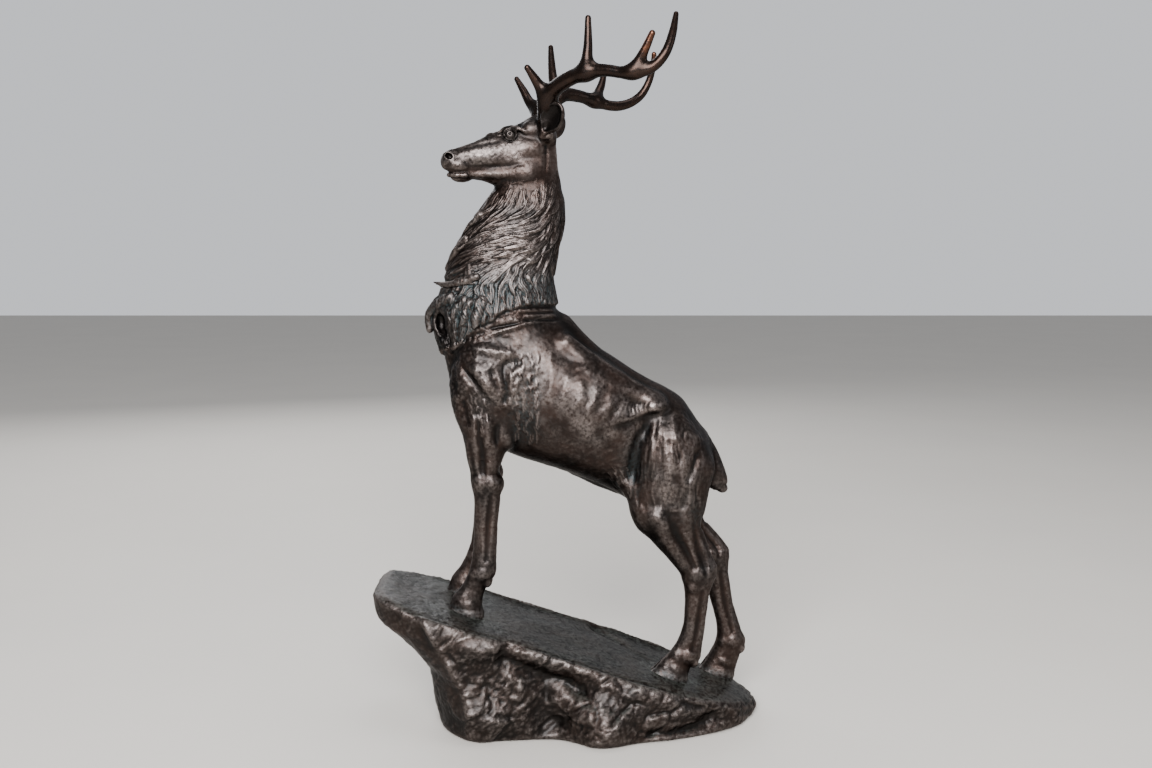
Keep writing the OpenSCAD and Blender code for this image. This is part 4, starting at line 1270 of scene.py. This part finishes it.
# Each patina's third colour is the pale of wear and of the painted highlight.
BRONZE = patina("bronze", (0.0055, 0.0033, 0.0025), (0.021, 0.0112, 0.0078), (0.190, 0.160, 0.147),
                (0.022, 0.036, 0.039), 0.37, 0.00014, 0.45)
ANTLER_BRONZE = patina("antler_bronze", (0.006, 0.0038, 0.003), (0.017, 0.0098, 0.0068),
                       (0.17, 0.062, 0.030), (0.03, 0.04, 0.04), 0.26, 0.00004, 0.45)
ROCK_BRONZE = patina("rock_bronze", (0.007, 0.0046, 0.0037), (0.023, 0.0142, 0.0110), (0.175, 0.148, 0.136),
                     (0.050, 0.057, 0.049), 0.40, 0.0007, 0.85)


# ---- The castings ----

SCALE = 1.0
CELLS = {"torso": 1.28, "neck": 0.78, "head": 0.5, "leg": 0.72, "tail": 0.7, "antler": 0.62, "ear": 0.55,
         "rock": 1.52}
CELLS = {key: cell * SCALE for key, cell in CELLS.items()}
BOXES = {
    "torso": ((-135, -60, 175), (160, 60, 432)), "head": ((-132, -36, 515), (8, 36, 622)),
    "neck": ((-146, -52, 356), (14, 52, 566)), "tail": ((128, -16, 222), (172, 16, 296)),
}
OVERLAP = 0.9         # the castings run this far past a seam into each other
EXTRA = 12            # skin beyond a seam that is cut away again


def cast(low, high, cell, moulds):
    clay = Clay(low, high, cell)
    for mould in moulds:
        clay.add(*mould)
    return clay


def leg_clay(name, moulds):
    rows, side, seam = LEGS[name]
    rows = np.array(rows, float)[seam:]
    low = min(rows[:, [1, 3]].min(), rows[-1, [1, 3]].min()) - 8
    high = rows[0, [1, 3]].max() + EXTRA
    near, far = rows[:, [0, 2]].min() - 14, rows[:, [0, 2]].max() + 16
    inner, outer = sorted((side * 2, side * 52))
    return cast((near, inner, low), (far, outer, high), CELLS["leg"], moulds)


def joined(box, other, angle):
    """A block of clay with its neighbour across the turned seam blended in."""
    clay = copy.copy(box)
    clay.field = box.field.copy()
    clay.add(Sampled(other, angle), 5)
    return clay


def results(jobs):
    return {name: job.result() for name, job in jobs.items()}


with ThreadPoolExecutor(4) as pool:
    moulds = body_moulds()
    blocks = {name: pool.submit(cast, *ends, CELLS[name], head_moulds() if name == "head" else moulds)
              for name, ends in BOXES.items()}
    blocks.update({name: pool.submit(leg_clay, name, moulds) for name in LEGS})
    blocks = results(blocks)
    blocks.update(results({
        "neck": pool.submit(joined, blocks["neck"], blocks["head"], -HEAD_TURN),
        "head": pool.submit(joined, blocks["head"], blocks["neck"], HEAD_TURN),
    }))


# Locks are traced on the neck's and the barrel's own skin.
mane_locks, tuft_locks = Locks(), Locks()
rng = np.random.default_rng(5)
skin = blocks["neck"].skin()[0]
mane = skin[rng.random(len(skin)) < mane_mask(skin)]
low_mane = mane[mane[:, 2] < 455]
coats = [        # roots, their gap, seed and most, and the locks' length, half width, lift and wave
    (mane, 4.4, 1, 30000, 24, 2.9, 1.2, 0.26),          # short hair all over
    (low_mane, 6.5, 3, 20000, 26, 4.4, 2.8, 0.55),      # thick locks low down
    (mane, 11, 5, 20000, 36, 3.6, 2.5, 0.24),           # long locks over both
]
for roots, gap, seed, most, *lock in coats:
    mane_locks.grow(blocks["neck"], scattered(roots, gap, seed, most), *lock, seed + 1)


def tuft(skin, box, gap, length, width, lift, wave, seed):
    """Locks on both flanks, over a box [x0, x1, z0, z1] in the side view."""
    x, y, z = skin.T
    spots = skin[(x > box[0]) & (x < box[1]) & (z > box[2]) & (z < box[3]) & (np.abs(y) > 20)]
    tuft_locks.grow(blocks["torso"], scattered(spots, gap, seed - 1, 9000), length, width, lift, wave, seed)


skin = blocks["torso"].skin()[0]
tuft(skin, (-50, -24, 296, 378), 7, 16, 2.3, 0.9, 0.6, 8)       # behind the elbow
tuft(skin, (-95, -76, 304, 338), 6, 13, 1.8, 0.6, 0.4, 10)      # on the shoulder
tuft(skin, (42, 62, 236, 264), 6, 12, 1.8, 0.7, 0.3, 12)        # in the groin


def green_on_body(surface):
    x, _, z = surface.points.T
    behind = spot(x, z, -38, 325, 16, 42)
    ruff = ease((z - 376) / 10) * ease((462 - z) / 26) * mane_mask(surface.points)
    groin = spot(x, z, 66, 256, 14, 34)
    foot = ease((top_z(x) + 9 - z) / 9)
    hock = spot(x, z, 126, 214, 12, 12)
    where = np.clip(0.45 * behind + 0.9 * ruff + 0.4 * groin + 0.9 * foot + 0.4 * hock + 0.05, 0, 1)
    sunk = np.clip(surface.depth(8) / 0.4 + 0.5, 0, 1)
    return where * (0.3 + 0.7 * sunk)


def worked(clay, relief, turn=None):
    """The clay's skin, eased, turned into place and with its relief raised on it."""
    surface = Surface(*clay.skin())
    surface.points = surface.eased(surface.points, 2, 0.4)
    if turn:
        surface.points = turn(surface.points)
    surface.find_normals()
    surface.raise_by(relief(surface))
    return surface


def plane_cut(seam, sign, where=anywhere):
    """Cut away what lies on the `sign` side of a seam, past the overlap."""
    at, up = seam
    return at + sign * OVERLAP * up, sign * up, where


def leg_window(name):
    """Where the seam of a leg may cut the torso."""
    side = LEGS[name][1]

    def where(x, y, z):
        here = (x < -40) & (z < 284) if name.endswith("fore") else (x > 56) & (z < 222)
        return here & (y * side >= 1)

    return where


def tail_window(x, y, z):
    return (x > 136) & (z > 256) & (z < 294) & (np.abs(y) < 15)


def antler_skin(name):
    return worked(antler_clay(name, CELLS["antler"]), coat_relief(0.06, 8))


with ThreadPoolExecutor(4) as pool:
    skins = {name: pool.submit(worked, blocks[name], body_relief) for name in ("neck", "torso", *LEGS)}
    skins["head"] = pool.submit(worked, blocks["head"], lambda s: body_relief(s, 0.4),
                                lambda points: turned(points, HEAD_TURN))
    antlers = {name: pool.submit(antler_skin, name) for name in BEAMS}
    skins, antlers = results(skins), results(antlers)

head_seam, neck_seam, tail_seam = (seam_plane(row) for row in (HEAD_SEAM, NECK_SEAM, TAIL_SEAM))
sole_cut = (np.array([0, 0, top_z(0) - 1.2]), -unit(np.array([TOP_SLOPE, 0, 1.0])), anywhere)


def make_torso():
    surface = skins["torso"]
    cuts = [plane_cut(neck_seam, 1)] + [plane_cut(leg_seam(name), -1, leg_window(name)) for name in LEGS]
    cuts.append(plane_cut(tail_seam, 1, tail_window))
    make_piece("stag_torso", "torso", surface, wear_dirt_and_painted_light(surface, green_on_body(surface)), cuts)


def make_neck():
    surface = skins["neck"]
    shares = wear_dirt_and_painted_light(surface, green_on_body(surface))
    x, _, z = surface.points.T
    # Painted shade, with darker patina, in the hollow under the large curl; no green there.
    curl = spot(x, z, -119, 392, 12, 22, power=4)
    shares["hollow"] = np.maximum(shares["hollow"], curl)
    shares["green"] *= 1 - curl
    make_piece("stag_neck", "neck", surface, shares, [plane_cut(neck_seam, -1), plane_cut(head_seam, 1)])


def make_head():
    surface = skins["head"]
    shares = wear_dirt_and_painted_light(surface)
    flat = surface.points[:, [0, 2]]
    eye = np.linalg.norm(flat - (EYE[0], EYE[2]), axis=1)
    nostril = np.linalg.norm(flat - (-112.5, 564.5), axis=1)
    jaw = (flat - (-36, 541)) / (18, 6)
    # Painted shade round the eye, in the nostril and under the jaw muscle, added to the hollow share.
    painted_shade = 0.8 * np.exp(-((eye - 5.5) / 2.6) ** 2) + 0.7 * np.exp(-((eye / 7) ** 4))
    painted_shade += 0.9 * np.exp(-((nostril / 6.4) ** 4)) + 0.6 * np.exp(-(jaw ** 2).sum(1))
    shares["hollow"] = np.clip(shares["hollow"] + painted_shade, 0, 1)
    make_piece("stag_head", "head", surface, shares, [plane_cut(head_seam, -1)])


def make_leg(name):
    surface = skins[name]
    shares = wear_dirt_and_painted_light(surface, green_on_body(surface))
    make_piece(f"stag_{name}_leg", f"{name}_leg", surface, shares, [plane_cut(leg_seam(name), 1), sole_cut])


def make_tail():
    surface = worked(blocks["tail"], coat_relief(0.12, 5))
    make_piece("stag_tail", "tail", surface, wear_dirt_and_painted_light(surface), [plane_cut(tail_seam, -1)])


def make_antler(name):
    surface = antlers[name]
    shares = wear_dirt_and_painted_light(surface, rub=0.12)
    x, _, z = surface.points.T
    # The tips glow where they are rubbed.
    at_x, from_z = (76, 640) if name == "left" else (93, 660)
    shares["worn_and_lit"] += 0.55 * np.exp(-((x - at_x) / 8) ** 2) * ease((z - from_z) / 16)
    make_piece(f"stag_{name}_antler", f"{name}_antler", surface, shares, material=ANTLER_BRONZE)


def make_ear(name):
    side = -1 if name == "left" else 1
    axes = ear_frame(side)
    root = np.array([EAR_ROOT[0] - 6, side * (EAR_ROOT[1] + 2), EAR_ROOT[2] + 4], float)
    surface = worked(ear_clay(CELLS["ear"]), coat_relief(0.12, 3), lambda points: points @ axes.T + root)
    shares = wear_dirt_and_painted_light(surface, rub=0.4)
    local = (surface.points - root) @ axes
    from_rim = np.linalg.norm(local[:, 1:] / (10.5, 14) - (0, 1.14), axis=1)
    # Painted shade inside the ear's cup, added to the hollow share.
    cup = ease(((surface.normals @ axes)[:, 0] + 0.35) / 0.4) * ease((1.12 - from_rim) / 0.12)
    shares["hollow"] = np.maximum(shares["hollow"], cup)
    make_piece(f"stag_{name}_ear", f"{name}_ear", surface, shares)


make_torso()
make_neck()
make_head()
for name in LEGS:
    make_leg(name)
make_tail()
for name in BEAMS:
    make_antler(name)
    make_ear(name)


# ---- The rock ----

def rock_shell():
    """The rock's outline as rings from its foot to its top, closed by a point at each end."""
    lift = np.array([d for _, _, d in ROCK_RIM])
    rim = np.array([[x, y, top_z(x) - RIM_DROP * d] for x, y, d in ROCK_RIM])
    ground = np.array([[x, y, 0.5] for x, y in ROCK_GROUND])
    # The rim drawn in a little makes the rounded shoulder over it, and drawn in more, the top.
    shoulder, top = rim * (0.965, 0.965, 1), rim * (0.90, 0.90, 1)
    shoulder[:, 2] = top_z(shoulder[:, 0]) - RIM_DROP * 0.25 * lift
    top[:, 2] = top_z(top[:, 0])

    def between(share, height):
        ring = rim * (1 - share) + ground * share
        ring[:, 2] = rim[:, 2] * height
        return ring

    rings = [ground * (0.985, 0.985, 1), ground + (0, 0, 3), between(0.85, 0.45), between(0.2, 0.8), rim,
             shoulder, top]
    rings = [spline(ring, 6, closed=True) for ring in rings]
    n = len(rings[0])
    points = np.concatenate(rings + [[[10, 0, 0.5]], [[0, -10, top_z(0)]]])
    first, last = len(points) - 2, len(points) - 1
    faces = []
    for i in range(n):
        j = (i + 1) % n
        faces += [(k + i, k + j, k + n + j, k + n + i) for k in range(0, n * (len(rings) - 1), n)]
        faces += [(j, i, first), (first - n + i, first - n + j, last)]
    return points, faces


def remeshed(points, faces, cell):
    """The closed shell as an even skin of four-sided faces."""
    mesh = bpy.data.meshes.new("shell")
    mesh.from_pydata((points * MM).tolist(), [], faces)
    thing = placed("shell", mesh)
    thing.modifiers.new("even", "REMESH").voxel_size = cell * MM
    fine = thing.evaluated_get(bpy.context.evaluated_depsgraph_get()).to_mesh()
    out = np.zeros(len(fine.vertices) * 3)
    fine.vertices.foreach_get("co", out)
    corner = np.zeros(len(fine.loops), np.int32)
    fine.loops.foreach_get("vertex_index", corner)
    bpy.data.objects.remove(thing)
    return out.reshape(-1, 3) / MM, corner.reshape(-1, 4).astype(np.int64)


def facets(p, size, seed, step, tilt):
    """Broken faces: each patch stands at its own height and leans its own way."""
    _, gap, site, mark = cells(p, size, seed)
    lean = np.stack([noise(site, 3, seed + k) for k in (1, 2, 3)], 1)
    return (step * mark + tilt * ((p - site) * lean).sum(1)) * ease(gap / 0.22)


def flat_top(surface):
    """Share of the rock's top, against its sides."""
    return ease((surface.normals[:, 2] - 0.55) / 0.3)


def hooves():
    """The middle of each hoof's section on the rock."""
    return [((rows[-1][0] + rows[-1][2]) / 2, side * LEG_Y) for rows, side, _ in LEGS.values()]


def rock_masses(x, z, arris):
    """The front's own bosses and gullies, in the side view."""
    masses = [       # at x and z, half length, half height, lift and lean in degrees
        (-80, 90, 38, 14, 6, -20), (-95, 117, 42, 7, -3, -20), (-70, 26, 24, 15, 7, -20),
        (72, 50, 42, 11, 6, -18), (42, 16, 18, 16, 5, 0), (131, 34, 20, 6, -4, -20),
    ]
    troughs = [      # along a line, half width and depth
        ([(-78, 90), (-40, 74), (-15, 62), (36, 50)], 9, 9),
        ([(-12, 60), (-22, 40), (-14, 24), (-2, 8)], 13, 6),
        ([(66, 16), (95, 8), (125, 12), (160, 22)], 7, 6),
    ]
    forms = 3 * np.exp(-((x - arris) / 6) ** 2)
    for mass in masses:
        forms += swelling(x, z, *mass)
    for line, width, drop in troughs:
        forms += ridge(x, z, spline(line, 3), width, -drop, 0.2)
    return forms


def rock_relief(surface):
    p = surface.points
    x, y, z = p.T
    top = flat_top(surface)
    side = 1 - top
    under = ease((9 - z) / 8)
    # The dark smooth face at the left end, in front of the arris.
    arris = np.interp(z, [6, 27, 52, 82, 120], [-89, -89, -96, -113, -134])
    left = ease((arris - x) / 5) * ease((-y - 5) / 20)
    plane = spot(x, z, -88, 104, 38, 12)
    behind = ease((y - 20) / 20) * ease((z - 0.5 * top_z(x)) / 20)
    rough = side * (1 - 0.7 * left) * (1 - 0.6 * under) * (1 - 0.6 * behind) * (1 - 0.45 * plane)
    slant = np.stack([x * 0.85 + z * 0.5, y, (z * 0.85 - x * 0.5) * 1.5], 1)
    slant += 5 * np.stack([noise(p, 20, s) for s in (31, 32, 33)], 1)
    height = rough * (facets(slant, 38, 3, 2.4, 0.12) + facets(slant, 13, 5, 0.5, 0.05))
    height += rough * (1.5 * layered(slant, 26, 21, 3, 0.5) + 0.75 * layered(slant, 5.5, 23, 2, 0.6))
    height += ease((-y - 30) / 20) * side * (1 - under) * rock_masses(x, z, arris)
    height += side * 8 * spot(x, z - top_z(x), -184, -24, 16, 13)
    height += side * left * (1.2 * layered(p, 30, 25, 3) + 0.15 * noise(p, 3, 27))
    calm = 1.0
    for hoof_x, hoof_y in hooves():
        calm = calm * (1 - spot(x, y, hoof_x, hoof_y, 22, 16))
    height += top * calm * 1.5 * layered(p, 46, 29, 4, 0.5)
    height += top * 0.2 * layered(p, 4, 35, 2)
    # The long gouge on top.
    crease, share, _ = line_distance(x + 3 * noise(p, 14, 39), y, [(34, 44), (56, 26), (80, 4), (106, -28)])
    height -= top * calm * (3.6 - 2.4 * share) * np.exp(-(crease / (7 - 4 * share)) ** 2)
    return np.where(z < 2, 0, height)


def green_on_rock(surface):
    x, y, _ = surface.points.T
    top = flat_top(surface)
    near = sum(spot(x, y, hoof_x + 4, hoof_y, 30, 22) for hoof_x, hoof_y in hooves())
    return np.clip(top * (0.55 + 0.6 * near) + (1 - top) * 0.05, 0, 1)


def make_rock():
    surface = Surface(*remeshed(*rock_shell(), CELLS["rock"]))
    surface.points = surface.eased(surface.points, 6)
    surface.find_normals()
    surface.raise_by(rock_relief(surface))
    surface.points[:, 2] = np.maximum(surface.points[:, 2], 0.5)
    surface.find_normals()
    shares = wear_dirt_and_painted_light(surface, green_on_rock(surface))
    make_piece("rock", "rock_base", surface, shares, material=ROCK_BRONZE)


make_rock()


# ---- CAD pieces that stay ----

BARE = plain("pin_bronze", (0.62, 0.42, 0.20), (0.42, 0.27, 0.13), 0.32)
STEEL = plain("steel", (0.62, 0.63, 0.65), (0.45, 0.46, 0.48), 0.30)
BOARD = plain("board", (0.40, 0.28, 0.17), (0.27, 0.18, 0.10), 0.62, 0.0, (1, 9, 1))
FELT = plain("felt", (0.06, 0.16, 0.10), (0.04, 0.11, 0.07), 0.92, 0.0, sheen=0.5)
# By a word in the node's name; where two fit, the later one counts.
FINISHES = {
    "pin": BARE, "felt": FELT, "board": BOARD, "stud": STEEL, "washer": STEEL, "nut": STEEL, "screw": STEEL,
}
for node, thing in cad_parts.items():
    for word, finish in FINISHES.items():
        if word in node:
            thing.data.materials.clear()
            thing.data.materials.append(finish)


# ---- Studio ----

def make_floor():
    far = 9.0
    floor = bpy.data.meshes.new("floor")
    floor.from_pydata([(-far, -far, 0), (far, -far, 0), (far, far, 0), (-far, far, 0)], [], [(0, 1, 2, 3)])
    n = Nodes("pale_floor")
    tone = n.mix(n.noise(3, 3), (0.52, 0.49, 0.45), (0.57, 0.54, 0.49))
    floor.materials.append(n.finish(Base_Color=tone, Roughness=0.7))
    placed("floor", floor)


def make_sky():
    """An even pale surround, darker on the camera's side than behind the stag."""
    world = bpy.data.worlds.new("studio")
    bpy.context.scene.world = world
    world.use_nodes = True
    tree = world.node_tree
    way = add_node(tree, "ShaderNodeTexCoord", {}).outputs["Generated"]
    away = add_node(tree, "ShaderNodeSeparateXYZ", {"Vector": way}).outputs["Y"]
    inputs = {"Value": away, "From Min": -0.2, "From Max": 0.6, "To Min": 0.34, "To Max": 0.95}
    glow = add_node(tree, "ShaderNodeMapRange", inputs, interpolation_type="SMOOTHSTEP")
    feed(tree.nodes["Background"], {"Color": (0.80, 0.82, 0.86, 1), "Strength": glow.outputs["Result"]})


def lamp(name, place, size, power, colour):
    """A soft box aimed at the middle of the stag."""
    data = bpy.data.lights.new(name, "AREA")
    data.shape = "RECTANGLE"
    data.size, data.size_y = size
    data.energy = power
    data.color = colour
    thing = placed(name, data)
    thing.location = place
    x, y, z = np.array((0.0, 0.0, 0.35)) - place
    thing.rotation_euler = (math.atan2(math.hypot(x, y), -z), 0, math.atan2(y, x) - math.pi / 2)
    thing.visible_camera = False


def camera(place, down, lens):
    """The photo's view: `down` in degrees below level, `lens` in mm on a 36 mm frame."""
    data = bpy.data.cameras.new("camera")
    data.sensor_width = 36
    data.lens = lens
    thing = placed("camera", data)
    thing.location = place
    thing.rotation_euler = (math.radians(90 - down), 0, 0)
    bpy.context.scene.camera = thing


make_floor()
make_sky()
lamp("key", (-0.25, -2.2, 1.35), (1.8, 1.3), 175, (0.98, 0.98, 1.0))
lamp("overhead", (0.3, -0.1, 2.2), (1.2, 0.9), 14, (0.98, 0.98, 1.0))
lamp("side", (1.8, -0.7, 0.9), (0.6, 1.0), 6, (0.95, 0.97, 1.0))
lamp("back", (-0.8, 2.0, 1.4), (2.0, 1.2), 36, (0.97, 0.98, 1.0))
camera((0.011, -1.100, 0.459), 6.17, 34.375)
